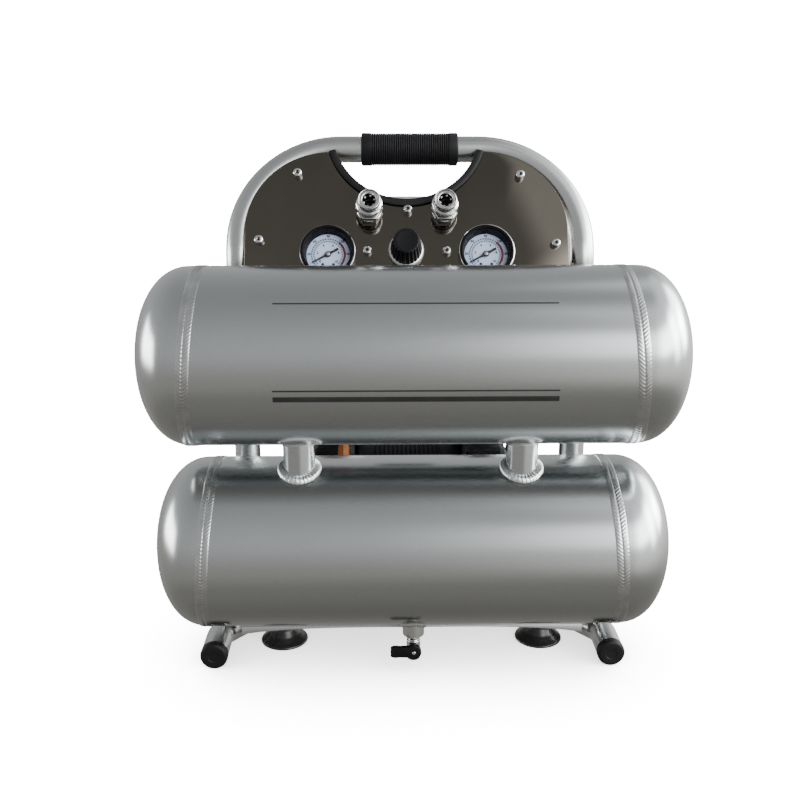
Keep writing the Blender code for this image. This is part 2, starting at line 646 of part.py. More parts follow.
def crankcase(side, word):
    """A cast end bell that stands on the base plate, open outwards and drilled for shaft and piston."""
    start = MOTOR_HALF + GAP
    foot = PLATE_TOP + GAP
    middle = start + CRANK_LENGTH / 2
    size = (CRANK_LENGTH, 2 * CRANK_HALF_Y, CRANK_TOP - foot)
    case = settle(rounded_block(size, (0, 0, (CRANK_TOP + foot) / 2 - MOTOR_Z), 8 * MM))
    place(case, "crankcase_" + word, CAST, shift(side * middle, MOTOR_Y, MOTOR_Z))
    cavity = rod(CRANK_CAVITY_R, 8 * MM - CRANK_LENGTH / 2, CRANK_LENGTH, TANK_STEPS - 8)
    cavity.matrix_basis = along_x(side * middle, MOTOR_Y, MOTOR_Z, side)
    pierce(case, cavity)
    bore = rod(SHAFT_R + 1 * MM, -CRANK_LENGTH, CRANK_LENGTH, SMALL_STEPS)
    bore.matrix_basis = along_x(side * middle, MOTOR_Y, MOTOR_Z, side)
    pierce(case, bore)
    throat = rod(CYLINDER_BORE - 1 * MM, MOTOR_Z, CRANK_TOP + 10 * MM, ROUND_STEPS)
    throat.matrix_basis = shift(side * middle, MOTOR_Y, 0)
    pierce(case, throat)
    return side * middle


def cylinder(x, word):
    """A finned cylinder closed by its head, the piston on its rod, and the intake filter on top."""
    base = CRANK_TOP + GAP
    top = base + CYLINDER_HEIGHT
    outer = [(0, top), (FIN_R, top), (FIN_R, top - 12 * MM), (CYLINDER_R, top - 12 * MM)]
    pitch = (CYLINDER_HEIGHT - 16 * MM) / FIN_COUNT
    for i in range(FIN_COUNT - 1):
        high = top - 12 * MM - pitch * (i + 0.5)
        outer += [(CYLINDER_R, high), (FIN_R, high), (FIN_R, high - 3 * MM), (CYLINDER_R, high - 3 * MM)]
    inner = [(CYLINDER_R, base), (CYLINDER_BORE, base), (CYLINDER_BORE, top - 9 * MM), (0, top - 9 * MM)]
    place(turned(outer + inner, ROUND_STEPS), "pump_cylinder_" + word, CAST, shift(x, MOTOR_Y, 0))

    crown = base + CYLINDER_HEIGHT / 2 + PISTON_STROKE / 2
    piston = turned([(0, crown), (CYLINDER_BORE - 0.5 * MM, crown), (CYLINDER_BORE - 0.5 * MM, crown - 6 * MM),
                     (5 * MM, crown - 8 * MM), (5 * MM, MOTOR_Z + 22 * MM), (0, MOTOR_Z + 22 * MM)], ROUND_STEPS)
    place(piston, "piston_" + word, ALUMINIUM, shift(x, MOTOR_Y, 0))

    can = turned([(0, 24 * MM), (12 * MM, 24 * MM), (14 * MM, 22 * MM), (14 * MM, 5 * MM), (8 * MM, 4 * MM),
                  (8 * MM, 0), (0, 0)], SMALL_STEPS)
    place(can, "intake_filter_" + word, BLACK_PLASTIC, shift(x, MOTOR_Y + 12 * MM, top + GAP))
    return top


def discharge_pipe(x_left, top):
    """The copper line from the left cylinder head to the brass check valve on the lower tank."""
    angle = math.radians(42)
    out = Vector((0, math.sin(angle), math.cos(angle)))
    entry = Vector((-66 * MM, LOWER_Y, LOWER_Z)) + out * (TANK_R + GAP)
    start = Vector((x_left, MOTOR_Y - FIN_R - GAP, top - 6 * MM))
    route = [(start, 0), (start + Vector((0, -17 * MM, 0)), 14 * MM),
             (Vector((-62 * MM, start.y - 19 * MM, 186 * MM)), 14 * MM),
             (entry + out * 22 * MM + Vector((0, 12 * MM, -4 * MM)), 9 * MM), (entry + out * 6 * MM, 0)]
    pipe = settle(tube(rounded_path(route, math.radians(20)), 4 * MM, 2))
    place(pipe, "discharge_pipe", COPPER)
    valve = rod(6.2 * MM, 0.4 * MM, 15 * MM, 6)
    valve.matrix_basis = Matrix.Translation(entry) @ Matrix.Rotation(-angle, 4, "X")
    pierce(pipe, valve, "UNION")


def electrics():
    """The run capacitor behind the motor and the gland where the supply cord would enter."""
    radius = 16 * MM
    length = 76 * MM
    can = turned([(0, length), (radius - 2 * MM, length), (radius, length - 2 * MM), (radius, 2 * MM),
                  (radius - 2 * MM, 0), (0, 0)], ROUND_STEPS)
    place(can, "run_capacitor", BLACK_PLASTIC,
          along_x(-length / 2, DEPTH / 2 - 20 * MM, PLATE_TOP + radius + GAP))
    gland = turned([(3.6 * MM, 24 * MM), (6 * MM, 24 * MM), (8 * MM, 8 * MM), (11 * MM, 7 * MM), (11 * MM, 0),
                    (3.6 * MM, 0)], SMALL_STEPS, ring=True)
    back_wall = shift(MOTOR_HALF + CRANK_LENGTH / 2, MOTOR_Y + CRANK_HALF_Y + GAP, MOTOR_Z)
    place(gland, "cord_gland", BLACK_PLASTIC, back_wall @ Matrix.Rotation(-math.pi / 2, 4, "X"))


# ---------------------------------------------------------------- the whole machine
clear_scene()
PARTS = new_collection("airbrush_compressor")
GUIDES = new_collection("guides")

tanks()
link_pipes()
drain()

lean = lean_frame()
frame_tube()
handle_grip(lean)
feet()
base_plate()

panel = sheet_frame(lean)
control_panel(panel)
panel_edge_trim(panel)
panel_screws(panel)
for panel_side, panel_word in ((-1, "left"), (1, "right")):
    gauge(panel, panel_side, panel_word)
    coupler(panel, panel_side, panel_word)
regulator(panel)
pressure_switch(panel)
safety_valve(panel)

motor()
for pump_side, pump_word in ((-1, "left"), (1, "right")):
    pump_x = crankcase(pump_side, pump_word)
    head_top = cylinder(pump_x, pump_word)
discharge_pipe(-pump_x, head_top)
electrics()
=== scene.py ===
"""Looks of the twin-tank airbrush compressor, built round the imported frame. Metres, +Z up."""
import json
import math

import bmesh
import bpy
from mathutils import Matrix, Vector, noise


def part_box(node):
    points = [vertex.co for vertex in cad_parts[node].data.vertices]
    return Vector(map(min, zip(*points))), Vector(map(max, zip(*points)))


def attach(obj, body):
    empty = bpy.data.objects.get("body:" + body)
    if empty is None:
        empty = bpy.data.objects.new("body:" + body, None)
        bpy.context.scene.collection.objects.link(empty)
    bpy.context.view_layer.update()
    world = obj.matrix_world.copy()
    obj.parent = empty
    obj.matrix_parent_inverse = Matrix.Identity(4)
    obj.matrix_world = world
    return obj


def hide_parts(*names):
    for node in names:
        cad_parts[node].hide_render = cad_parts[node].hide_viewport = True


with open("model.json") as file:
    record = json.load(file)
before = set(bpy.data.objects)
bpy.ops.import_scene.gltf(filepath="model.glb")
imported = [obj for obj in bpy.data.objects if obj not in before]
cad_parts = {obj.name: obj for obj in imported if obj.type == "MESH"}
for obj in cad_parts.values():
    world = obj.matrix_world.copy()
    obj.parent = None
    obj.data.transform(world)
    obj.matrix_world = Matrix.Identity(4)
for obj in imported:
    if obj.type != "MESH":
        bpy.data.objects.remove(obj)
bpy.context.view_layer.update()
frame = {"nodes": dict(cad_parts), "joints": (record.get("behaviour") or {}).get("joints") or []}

MM = 0.001
FINE = 160            # segments round a tank
ROUND = 64            # segments round a fitting


# ------------------------------ places read from the frame
def box_of(node):
    low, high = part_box(node)
    return Vector(low), Vector(high)


def tank_place(which):
    """Axis point, radius, seam distance and half length of a tank."""
    low, high = box_of(which + "_tank_shell")
    ends = box_of(which + "_tank_head_right")[1].x
    centre = (low + high) / 2
    return centre, (high.z - low.z) / 2, high.x, ends


def joint(name):
    return next(j for j in frame["joints"] if j["name"] == name)


KNOB_JOINT = joint("regulator_knob_turn")
NORMAL = Vector(KNOB_JOINT["axis"]).normalized()
UP_PANEL = Vector((0, NORMAL.z, -NORMAL.y))
KNOB_OFF = 30 * MM                    # the knob joint's height over the hoop's centre plane
KNOB_S = -0.7 * MM                    # and its place along the lean
LEAN_ORIGIN = Vector(KNOB_JOINT["pos_m"]) - NORMAL * KNOB_OFF - UP_PANEL * KNOB_S
LEAN_ORIGIN.x = 0
LEAN = Matrix((
    (1, UP_PANEL.x, NORMAL.x, LEAN_ORIGIN.x),
    (0, UP_PANEL.y, NORMAL.y, LEAN_ORIGIN.y),
    (0, UP_PANEL.z, NORMAL.z, LEAN_ORIGIN.z),
    (0, 0, 0, 1)))


def on_panel(x, s, off=0.0):
    """A frame on the leaning panel: X right, Y up the panel, Z out of it."""
    return LEAN @ Matrix.Translation((x, s, off))


def panel_xs(node):
    """Where a node stands on the panel: the middle of its box in panel coordinates."""
    back = LEAN.inverted()
    spots = [back @ v.co for v in frame["nodes"][node].data.vertices]
    xs = [p.x for p in spots]
    ss = [p.y for p in spots]
    return (min(xs) + max(xs)) / 2, (min(ss) + max(ss)) / 2


def along_x(spot, side=1):
    return Matrix.Translation(spot) @ Matrix.Rotation(side * math.pi / 2, 4, "Y")


def along_front(spot):
    return Matrix.Translation(spot) @ Matrix.Rotation(math.pi / 2, 4, "X")


def polar(radius, angle, height=0.0):
    return Vector((radius * math.cos(angle), radius * math.sin(angle), height))


def upright(node):
    """A frame at the foot of a standing round node, its height and its radius in millimetres."""
    low, high = box_of(node)
    middle = (low + high) / 2
    size = (high - low) / MM
    return Matrix.Translation((middle.x, middle.y, low.z)), size.z, size.x / 2


def lying(node):
    """A frame at the middle of a round node along X, half its length and its radius in millimetres."""
    low, high = box_of(node)
    size = (high - low) / MM
    return along_x((low + high) / 2), size.x / 2, size.z / 2


# ------------------------------ materials
METAL_GRAIN = 0.0002                  # depth of the bump in metals and in plastics
PLASTIC_GRAIN = 0.0003


def ramp(nodes, links, value, stops):
    """A colour for each value, through (place, colour) stops."""
    node = nodes.new("ShaderNodeValToRGB")
    elements = node.color_ramp.elements
    while len(elements) < len(stops):
        elements.new(0.5)
    for element, (place, colour) in zip(elements, stops):
        element.position = place
        element.color = (*colour, 1)
    links.new(value, node.inputs["Fac"])
    return node.outputs["Color"]


class Finish:
    """A node material with one Principled shader and small helpers for what drives it."""

    def __init__(self, name, metallic=0.0):
        self.made = bpy.data.materials.new(name)
        self.made.use_nodes = True
        self.nodes = self.made.node_tree.nodes
        self.links = self.made.node_tree.links
        self.shader = self.nodes["Principled BSDF"]
        self.set("Metallic", metallic)
        self.where = self.nodes.new("ShaderNodeTexCoord").outputs["Object"]

    def set(self, socket, value):
        self.shader.inputs[socket].default_value = value

    def noise(self, scale, detail=3.0, rough=0.55):
        texture = self.nodes.new("ShaderNodeTexNoise")
        texture.inputs["Scale"].default_value = scale
        texture.inputs["Detail"].default_value = detail
        texture.inputs["Roughness"].default_value = rough
        self.links.new(self.where, texture.inputs["Vector"])
        return texture.outputs["Fac"]

    def colours(self, value, stops):
        self.links.new(ramp(self.nodes, self.links, value, stops), self.shader.inputs["Base Color"])

    def rough(self, value, low, high):
        node = self.nodes.new("ShaderNodeMapRange")
        node.inputs["To Min"].default_value = low
        node.inputs["To Max"].default_value = high
        self.links.new(value, node.inputs["Value"])
        self.links.new(node.outputs["Result"], self.shader.inputs["Roughness"])

    def bump(self, value, strength, distance):
        node = self.nodes.new("ShaderNodeBump")
        node.inputs["Strength"].default_value = strength
        node.inputs["Distance"].default_value = distance
        self.links.new(value, node.inputs["Height"])
        self.links.new(node.outputs["Normal"], self.shader.inputs["Normal"])


def tint(colour, by):
    return tuple(min(1.0, c * by) for c in colour)


def metal(name, colour, low, high, grain=900, wear=6, spread=0.10, bump=0.05):
    """A bare, plated or painted metal: cloudy tone, fine grain and uneven gloss."""
    finish = Finish(name, metallic=1.0)
    cloud = finish.noise(wear, 4, 0.6)
    finish.colours(cloud, [(0.3, tint(colour, 1 - spread)), (0.7, tint(colour, 1 + spread))])
    finish.rough(finish.noise(wear * 3.1, 3), low, high)
    finish.bump(finish.noise(grain, 2, 0.5), bump, METAL_GRAIN)
    return finish.made


def polymer(name, colour, low, high, grain=1200, bump=0.15, spread=0.25, shine=0.5):
    """A moulded plastic or rubber with a fine skin."""
    finish = Finish(name)
    finish.colours(finish.noise(40, 4), [(0.35, tint(colour, 1 - spread)),
                                         (0.7, tint(colour, 1 + spread))])
    finish.rough(finish.noise(70, 3), low, high)
    finish.bump(finish.noise(grain, 3), bump, PLASTIC_GRAIN)
    finish.set("Specular IOR Level", shine)
    return finish.made


def satin_silver(name, colour, low, high):
    """Silver powder coat over aluminium: metallic flake, slight orange peel, cloudy gloss."""
    finish = Finish(name, metallic=1.0)
    flake = finish.noise(2600, 1.5, 0.6)
    finish.colours(flake, [(0.30, tint(colour, 0.86)), (0.50, colour), (0.72, tint(colour, 1.12))])
    finish.rough(finish.noise(9, 4, 0.6), low, high)
    finish.bump(finish.noise(420, 3, 0.5), 0.02, METAL_GRAIN)
    return finish.made


GLASS_ROUGHNESS = 0.03
GLASS_MIRROR = 0.12                   # Layer Weight blend: how strong the mirror film is


def clear_lens(name):
    """Thin clear glass: what is behind shows through, with a mirror film by angle."""
    made = bpy.data.materials.new(name)
    made.use_nodes = True
    nodes = made.node_tree.nodes
    links = made.node_tree.links
    nodes.remove(nodes["Principled BSDF"])
    clear = nodes.new("ShaderNodeBsdfTransparent")
    gloss = nodes.new("ShaderNodeBsdfGlossy")
    gloss.inputs["Roughness"].default_value = GLASS_ROUGHNESS
    angle = nodes.new("ShaderNodeLayerWeight")
    angle.inputs["Blend"].default_value = GLASS_MIRROR
    blend = nodes.new("ShaderNodeMixShader")
    links.new(angle.outputs["Fresnel"], blend.inputs["Fac"])
    links.new(clear.outputs["BSDF"], blend.inputs[1])
    links.new(gloss.outputs["BSDF"], blend.inputs[2])
    links.new(blend.outputs["Shader"], nodes["Material Output"].inputs["Surface"])
    return made


TANK_SILVER = satin_silver("tank_silver", (0.495, 0.515, 0.52), 0.19, 0.25)
FRAME_SILVER = satin_silver("frame_silver", (0.52, 0.53, 0.53), 0.24, 0.31)
SEAM = metal("seam_bead", (0.54, 0.55, 0.55), 0.15, 0.25, grain=500, wear=60, spread=0.14, bump=0.20)
WELD = metal("weld_bead", (0.64, 0.65, 0.65), 0.28, 0.42, grain=500, wear=60, spread=0.14, bump=0.25)
# Mirror panel: its base colour is painted dark to stand in for the dark room it reflects, a painted
# reflection
PANEL_PAINTED_DARK = metal("polished_panel_painted_dark", (0.116, 0.105, 0.088), 0.045, 0.075,
              grain=1500, wear=14, spread=0.06, bump=0.012)
CHROME = metal("chrome", (0.62, 0.62, 0.62), 0.04, 0.10, grain=700, wear=30, spread=0.04, bump=0.01)
# Chrome painted darker as shade: a shaded copy of the chrome, for the left gauge's rim
CHROME_PAINTED_SHADE = metal("chrome_painted_shade", (0.26, 0.26, 0.27), 0.05, 0.12,
                    grain=700, wear=90, spread=0.35, bump=0.02)
STEEL = metal("turned_steel", (0.52, 0.52, 0.53), 0.22, 0.36, grain=600, wear=40, bump=0.10)
CAST = metal("cast_alloy", (0.40, 0.41, 0.42), 0.42, 0.60, grain=380, wear=25, bump=0.55)
# Near-black finish with little shine, for the motor case and crankcases
PUMP_BLACK = polymer("pump_near_black", (0.006, 0.006, 0.007), 0.30, 0.45,
                     grain=420, bump=0.35, shine=0.2)
BRASS = metal("brass", (0.70, 0.50, 0.22), 0.20, 0.32, grain=600, wear=60, bump=0.06)
COPPER = metal("copper", (0.22, 0.085, 0.035), 0.24, 0.42, grain=500, wear=90, spread=0.25, bump=0.08)
RUBBER = polymer("black_rubber", (0.005, 0.005, 0.005), 0.42, 0.60, bump=0.25, shine=0.22)
GRIP = polymer("grip_rubber", (0.005, 0.005, 0.006), 0.50, 0.66, grain=900, bump=0.35, shine=0.2)
CUP_RUBBER = polymer("cup_rubber", (0.012, 0.012, 0.012), 0.20, 0.36, grain=700, bump=0.10)
PLASTIC = polymer("black_plastic", (0.004, 0.004, 0.005), 0.30, 0.42, grain=900, bump=0.08, shine=0.18)
BEZEL = polymer("gauge_bezel_black", (0.004, 0.003, 0.004), 0.35, 0.45,
                grain=800, bump=0.02, shine=0.08)
RED = polymer("red_plastic", (0.42, 0.015, 0.010), 0.30, 0.42, grain=800, bump=0.08)
DIAL = polymer("dial_face", (0.56, 0.66, 0.88), 0.40, 0.50, grain=1500, bump=0.02, spread=0.02)
INK = polymer("dial_ink", (0.010, 0.012, 0.028), 0.55, 0.65, grain=900, bump=0.02)
NEEDLE = polymer("needle_black", (0.004, 0.005, 0.010), 0.45, 0.55, grain=900, bump=0.02)
RED_INK = polymer("dial_red_ink", (0.17, 0.014, 0.035), 0.5, 0.6, grain=900, bump=0.02)
DECAL = polymer("decal_black", (0.010, 0.010, 0.010), 0.35, 0.48, grain=700, bump=0.04)
# Near-black painted shade for the insides of screw recesses and coupler bores
BORE_PAINTED_SHADE = polymer("bore_painted_shade", (0.006, 0.006, 0.006), 0.5, 0.7, grain=500, bump=0.1)
LENS = clear_lens("gauge_glass")


# ------------------------------ mesh helpers
def finish_piece(obj, finish, body="machine", stands_for=(), sharp=32):
    if obj.name not in bpy.context.scene.collection.objects:
        bpy.context.scene.collection.objects.link(obj)
    obj.data.materials.clear()
    obj.data.materials.append(finish)
    if obj.type == "MESH":
        obj.data.shade_smooth()
        obj.data.set_sharp_from_angle(angle=math.radians(sharp))
    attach(obj, body)
    if stands_for:
        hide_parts(*stands_for)
    return obj


def from_bmesh(shape, name, at=None):
    if at is not None:
        shape.transform(at)
    bmesh.ops.recalc_face_normals(shape, faces=shape.faces)
    mesh = bpy.data.meshes.new(name)
    shape.to_mesh(mesh)
    shape.free()
    return bpy.data.objects.new(name, mesh)


def mm(points):
    """Points given in millimetres."""
    return [(a * MM, b * MM) for a, b in points]


def soften(points, radius, steps=3):
    """An open (radius, height) profile with its inner corners rounded; given in millimetres."""
    profile = mm(points)
    out = [Vector(profile[0])]
    for before, corner, after in zip(profile, profile[1:], profile[2:]):
        before, corner, after = Vector(before), Vector(corner), Vector(after)
        a = before - corner
        b = after - corner
        reach = min(radius * MM, a.length * 0.45, b.length * 0.45)
        start = corner + a.normalized() * reach
        end = corner + b.normalized() * reach
        for i in range(steps + 1):
            t = i / steps
            out.append(start * (1 - t) ** 2 + corner * 2 * t * (1 - t) + end * t * t)
    out.append(Vector(profile[-1]))
    return [tuple(p) for p in out]


def lathe(name, profile, at, steps=ROUND, closed=False):
    """Turn (radius, height) points about local Z. Points on the axis become one vertex."""
    work = bmesh.new()
    rings = []
    for r, z in profile:
        if r < 1e-7:
            rings.append([work.verts.new(at @ Vector((0, 0, z)))])
            continue
        rings.append([work.verts.new(at @ polar(r, math.tau * i / steps, z)) for i in range(steps)])
    pairs = list(zip(rings, rings[1:]))
    if closed:
        pairs.append((rings[-1], rings[0]))
    for upper, lower in pairs:
        for i in range(steps):
            j = (i + 1) % steps
            if len(upper) == 1 and len(lower) == 1:
                continue
            if len(upper) == 1:
                work.faces.new((upper[0], lower[i], lower[j]))
            elif len(lower) == 1:
                work.faces.new((upper[i], lower[0], upper[j]))
            else:
                work.faces.new((upper[i], lower[i], lower[j], upper[j]))
    return from_bmesh(work, name)


def loft(name, rings, closed_rings=True, closed_loft=False, caps=False):
    """Skin between rings of points with equal counts."""
    work = bmesh.new()
    verts = [[work.verts.new(p) for p in ring] for ring in rings]
    pairs = list(zip(verts, verts[1:]))
    if closed_loft:
        pairs.append((verts[-1], verts[0]))
    count = len(verts[0])
    for a, b in pairs:
        for i in range(count if closed_rings else count - 1):
            j = (i + 1) % count
            work.faces.new((a[i], b[i], b[j], a[j]))
    if caps:
        work.faces.new(verts[0])
        work.faces.new(list(reversed(verts[-1])))
    return from_bmesh(work, name)


def prism(name, outline, bottom, top, at, bevel, steps=3):
    """An outline in local XY raised from bottom to top, with rounded rims."""
    work = bmesh.new()
    low = [work.verts.new((x, y, bottom)) for x, y in outline]
    high = [work.verts.new((x, y, top)) for x, y in outline]
    count = len(outline)
    for i in range(count):
        j = (i + 1) % count
        work.faces.new((low[i], low[j], high[j], high[i]))
    work.faces.new(list(reversed(low)))
    work.faces.new(high)
    bmesh.ops.recalc_face_normals(work, faces=work.faces)
    rims = [e for e in work.edges if abs(e.verts[0].co.z - e.verts[1].co.z) < 1e-9]
    bmesh.ops.bevel(work, geom=rims, offset=bevel, segments=steps, affect="EDGES", profile=0.5)
    return from_bmesh(work, name, at)


def arc(cx, cy, radius, start, end, count):
    angles = [math.radians(start + (end - start) * i / count) for i in range(count + 1)]
    return [(cx + radius * math.cos(a), cy + radius * math.sin(a)) for a in angles]


BEND_STEP = math.radians(4)


def rounded_path(corners):
    """A polyline through (point, radius) corners, each rounded to its radius."""
    points = [corners[0][0]]
    for (before, _), (corner, radius), (after, _) in zip(corners, corners[1:], corners[2:]):
        back = (before - corner).normalized()
        ahead = (after - corner).normalized()
        turn = math.pi - back.angle(ahead)
        reach = radius * math.tan(turn / 2)
        centre = corner + (back + ahead).normalized() * math.hypot(radius, reach)
        start = corner + back * reach - centre
        axis = start.cross(corner + ahead * reach - centre).normalized()
        count = max(3, round(turn / BEND_STEP))
        for i in range(count + 1):
            points.append(centre + Matrix.Rotation(turn * i / count, 3, axis) @ start)
    points.append(corners[-1][0])
    return points


def pipe(name, points, radius, sides):
    """A round tube swept along points without twisting."""
    rings = []
    tangent = (points[1] - points[0]).normalized()
    side = tangent.orthogonal().normalized()
    for i, point in enumerate(points):
        ahead = points[min(i + 1, len(points) - 1)] - points[max(i - 1, 0)]
        turn = tangent.rotation_difference(ahead.normalized())
        side = (turn @ side).normalized()
        tangent = ahead.normalized()
        other = tangent.cross(side)
        rings.append([point + (side * math.cos(a) + other * math.sin(a)) * radius
                      for a in (math.tau * k / sides for k in range(sides))])
    return loft(name, rings, caps=True)


def merged(name, objects):
    """Join plain meshes into one piece."""
    work = bmesh.new()
    for obj in objects:
        work.from_mesh(obj.data)
        bpy.data.objects.remove(obj, do_unlink=True)
    mesh = bpy.data.meshes.new(name)
    work.to_mesh(mesh)
    work.free()
    return bpy.data.objects.new(name, mesh)


# ------------------------------ camera, light and floor
# Six values fitted to where the machine's edges stand in the view
CAMERA_PLACE = Vector((-26.0, -952.0, 505.1)) * MM
CAMERA_DOWN = math.radians(16.27)
CAMERA_RIGHT = math.radians(0.94)
FOCAL = 44.73


def camera():
    data = bpy.data.cameras.new("camera")
    data.lens = FOCAL
    data.sensor_width = 36
    obj = bpy.data.objects.new("camera", data)
    bpy.context.scene.collection.objects.link(obj)
    obj.location = CAMERA_PLACE
    obj.rotation_euler = (math.pi / 2 - CAMERA_DOWN, 0, -CAMERA_RIGHT)
    bpy.context.scene.camera = obj


# The dim room's radiance by elevation: dark floor, brighter walls, greyer ceiling
ROOM = [(-90, 0.20), (-45, 0.27), (-20, 0.40), (15, 0.60), (90, 0.40)]
# Each lamp fades in and out: (from, full, full, to) in azimuth, the same in elevation, radiance.
# Degrees; azimuth 0 is on the camera's side, 90 is to its right
LAMPS = {
    "window on the right": ((5, 40, 125, 140), (5, 15, 30, 45), 8.5),
    "glow above it": ((15, 30, 145, 160), (30, 45, 60, 80), 0.9),
    "glow below it": ((0, 25, 145, 160), (-30, -10, 20, 40), 0.8),
    "post in the window": ((65, 75, 85, 95), (-5, 5, 30, 50), 7.0),
    "lamp behind on the right": ((95, 105, 115, 125), (-5, 5, 15, 25), 18.0),
    "strip on the left": ((-120, -110, -85, -70), (-10, 0, 10, 20), 10.0),
}
WARM = (1.045, 1.0, 0.93, 1)          # the room's tint below, and above
COOL = (0.985, 1.0, 1.012, 1)
WHITE = 17.0                          # what the view transform shows as pure white


def studio_world():
    """A dim room with soft lamps, seen only by what it lights; plain white behind."""
    world = bpy.data.worlds.new("studio")
    bpy.context.scene.world = world
    world.use_nodes = True
    nodes = world.node_tree.nodes
    links = world.node_tree.links

    def value(operation, *sources):
        node = nodes.new("ShaderNodeMath")
        node.operation = operation
        for socket, source in zip(node.inputs, sources):
            if isinstance(source, (int, float)):
                socket.default_value = source
            else:
                links.new(source, socket)
        return node.outputs["Value"]

    def step(source, start, end):
        node = nodes.new("ShaderNodeMapRange")
        node.interpolation_type = "SMOOTHSTEP"
        node.inputs["From Min"].default_value = start
        node.inputs["From Max"].default_value = end
        links.new(source, node.inputs["Value"])
        return node.outputs["Result"]

    def times(a, b):
        return value("MULTIPLY", a, b)

    parts = nodes.new("ShaderNodeSeparateXYZ")
    links.new(nodes.new("ShaderNodeTexCoord").outputs["Generated"], parts.inputs["Vector"])
    ahead = times(parts.outputs["Y"], -1.0)
    azimuth = times(value("ARCTAN2", parts.outputs["X"], ahead), 180 / math.pi)
    elevation = times(value("ARCSINE", parts.outputs["Z"]), 180 / math.pi)
    level = 0.0
    for (low, a), (high, b) in zip(ROOM, ROOM[1:]):
        level = value("ADD", level, times(step(elevation, low, high), b - a))
    level = value("ADD", level, ROOM[0][1])
    for (west, west_in, east_in, east), (below, low, high, above), power in LAMPS.values():
        across = times(step(azimuth, west, west_in), step(azimuth, east, east_in))
        up = times(step(elevation, below, low), step(elevation, above, high))
        level = value("ADD", level, times(times(across, up), power))
    room = nodes["Background"]
    shade = nodes.new("ShaderNodeMix")
    shade.data_type = "RGBA"
    shade.inputs["A"].default_value = WARM
    shade.inputs["B"].default_value = COOL
    links.new(step(elevation, -35, 25), shade.inputs["Factor"])
    links.new(shade.outputs["Result"], room.inputs["Color"])
    links.new(level, room.inputs["Strength"])
    plain = nodes.new("ShaderNodeBackground")
    plain.inputs["Color"].default_value = (1, 1, 1, 1)
    plain.inputs["Strength"].default_value = WHITE
    seen = nodes.new("ShaderNodeLightPath")
    blend = nodes.new("ShaderNodeMixShader")
    links.new(seen.outputs["Is Camera Ray"], blend.inputs["Fac"])
    links.new(room.outputs["Background"], blend.inputs[1])
    links.new(plain.outputs["Background"], blend.inputs[2])
    links.new(blend.outputs["Shader"], nodes["World Output"].inputs["Surface"])


# How much the floor glows by how open it is above, from fully covered to open
SHADE = [(0.0, 0.08), (0.25, 0.16), (0.50, 0.45), (0.75, 0.88), (0.92, 1.0)]
SHADOW_REACH = 0.16
FLOOR_HALF = 30
FLOOR_DROP = 0.2 * MM                 # keeps the floor clear of the feet


def floor():
    """A white floor that glows where nothing stands near it, so only contact shadows are seen."""
    work = bmesh.new()
    bmesh.ops.create_grid(work, x_segments=1, y_segments=1, size=FLOOR_HALF)
    obj = from_bmesh(work, "studio_floor", Matrix.Translation((0, 0, -FLOOR_DROP)))
    bpy.context.scene.collection.objects.link(obj)
    made = bpy.data.materials.new("studio_floor")
    made.use_nodes = True
    nodes = made.node_tree.nodes
    links = made.node_tree.links
    shader = nodes["Principled BSDF"]
    shader.inputs["Base Color"].default_value = (0.7, 0.7, 0.7, 1)
    shader.inputs["Roughness"].default_value = 0.9
    near = nodes.new("ShaderNodeAmbientOcclusion")
    near.samples = 8
    near.inputs["Distance"].default_value = SHADOW_REACH
    shade = ramp(nodes, links, near.outputs["AO"], [(place, (grey,) * 3) for place, grey in SHADE])
    seen = nodes.new("ShaderNodeLightPath")
    strength = nodes.new("ShaderNodeMath")
    strength.operation = "MULTIPLY"
    strength.inputs[1].default_value = WHITE
    links.new(seen.outputs["Is Camera Ray"], strength.inputs[0])
    glow = nodes.new("ShaderNodeEmission")
    links.new(shade, glow.inputs["Color"])
    links.new(strength.outputs["Value"], glow.inputs["Strength"])
    add = nodes.new("ShaderNodeAddShader")
    links.new(shader.outputs["BSDF"], add.inputs[0])
    links.new(glow.outputs["Emission"], add.inputs[1])
    links.new(add.outputs["Shader"], nodes["Material Output"].inputs["Surface"])
    obj.data.materials.append(made)
    obj.visible_glossy = False


# ------------------------------ tanks
HEAD_RISE = 47 * MM
HEAD_FULLNESS = 2 / 2.2               # 1 would be an ellipse, less is fuller at the knuckle
HEAD_STEPS = 30
UPPER = tank_place("upper")
LOWER = tank_place("lower")


def tank(which, place):
    centre, radius, seam, half = place
    side_line = [(radius, seam), (radius, seam / 3), (radius, -seam / 3), (radius, -seam)]
    shell = lathe(which + "_tank_shell_skin", side_line, along_x(centre), FINE)
    finish_piece(shell, TANK_SILVER, stands_for=(which + "_tank_shell",))
    flange = half - HEAD_RISE
    for side, word in ((-1, "left"), (1, "right")):
        node = f"{which}_tank_head_{word}"
        profile = []
        for i in range(HEAD_STEPS + 1):
            a = math.pi / 2 * i / HEAD_STEPS
            profile.append((radius * math.sin(a) ** HEAD_FULLNESS,
                            flange + HEAD_RISE * max(0.0, math.cos(a)) ** HEAD_FULLNESS))
        profile += [(radius, seam + 3 * MM), (radius, seam)]
        head = lathe(node + "_skin", profile, along_x(centre, side), FINE)
        finish_piece(head, TANK_SILVER, stands_for=(node,), sharp=60)
        seam_weld(f"{which}_seam_weld_{word}", centre, radius, side * seam, side)


SEAM_TILT = 5.5 * MM                  # how far the ring of ripples leans, over a tank's radius
SEAM_SHIFT = {-1: -3.8 * MM, 1: 0.0}


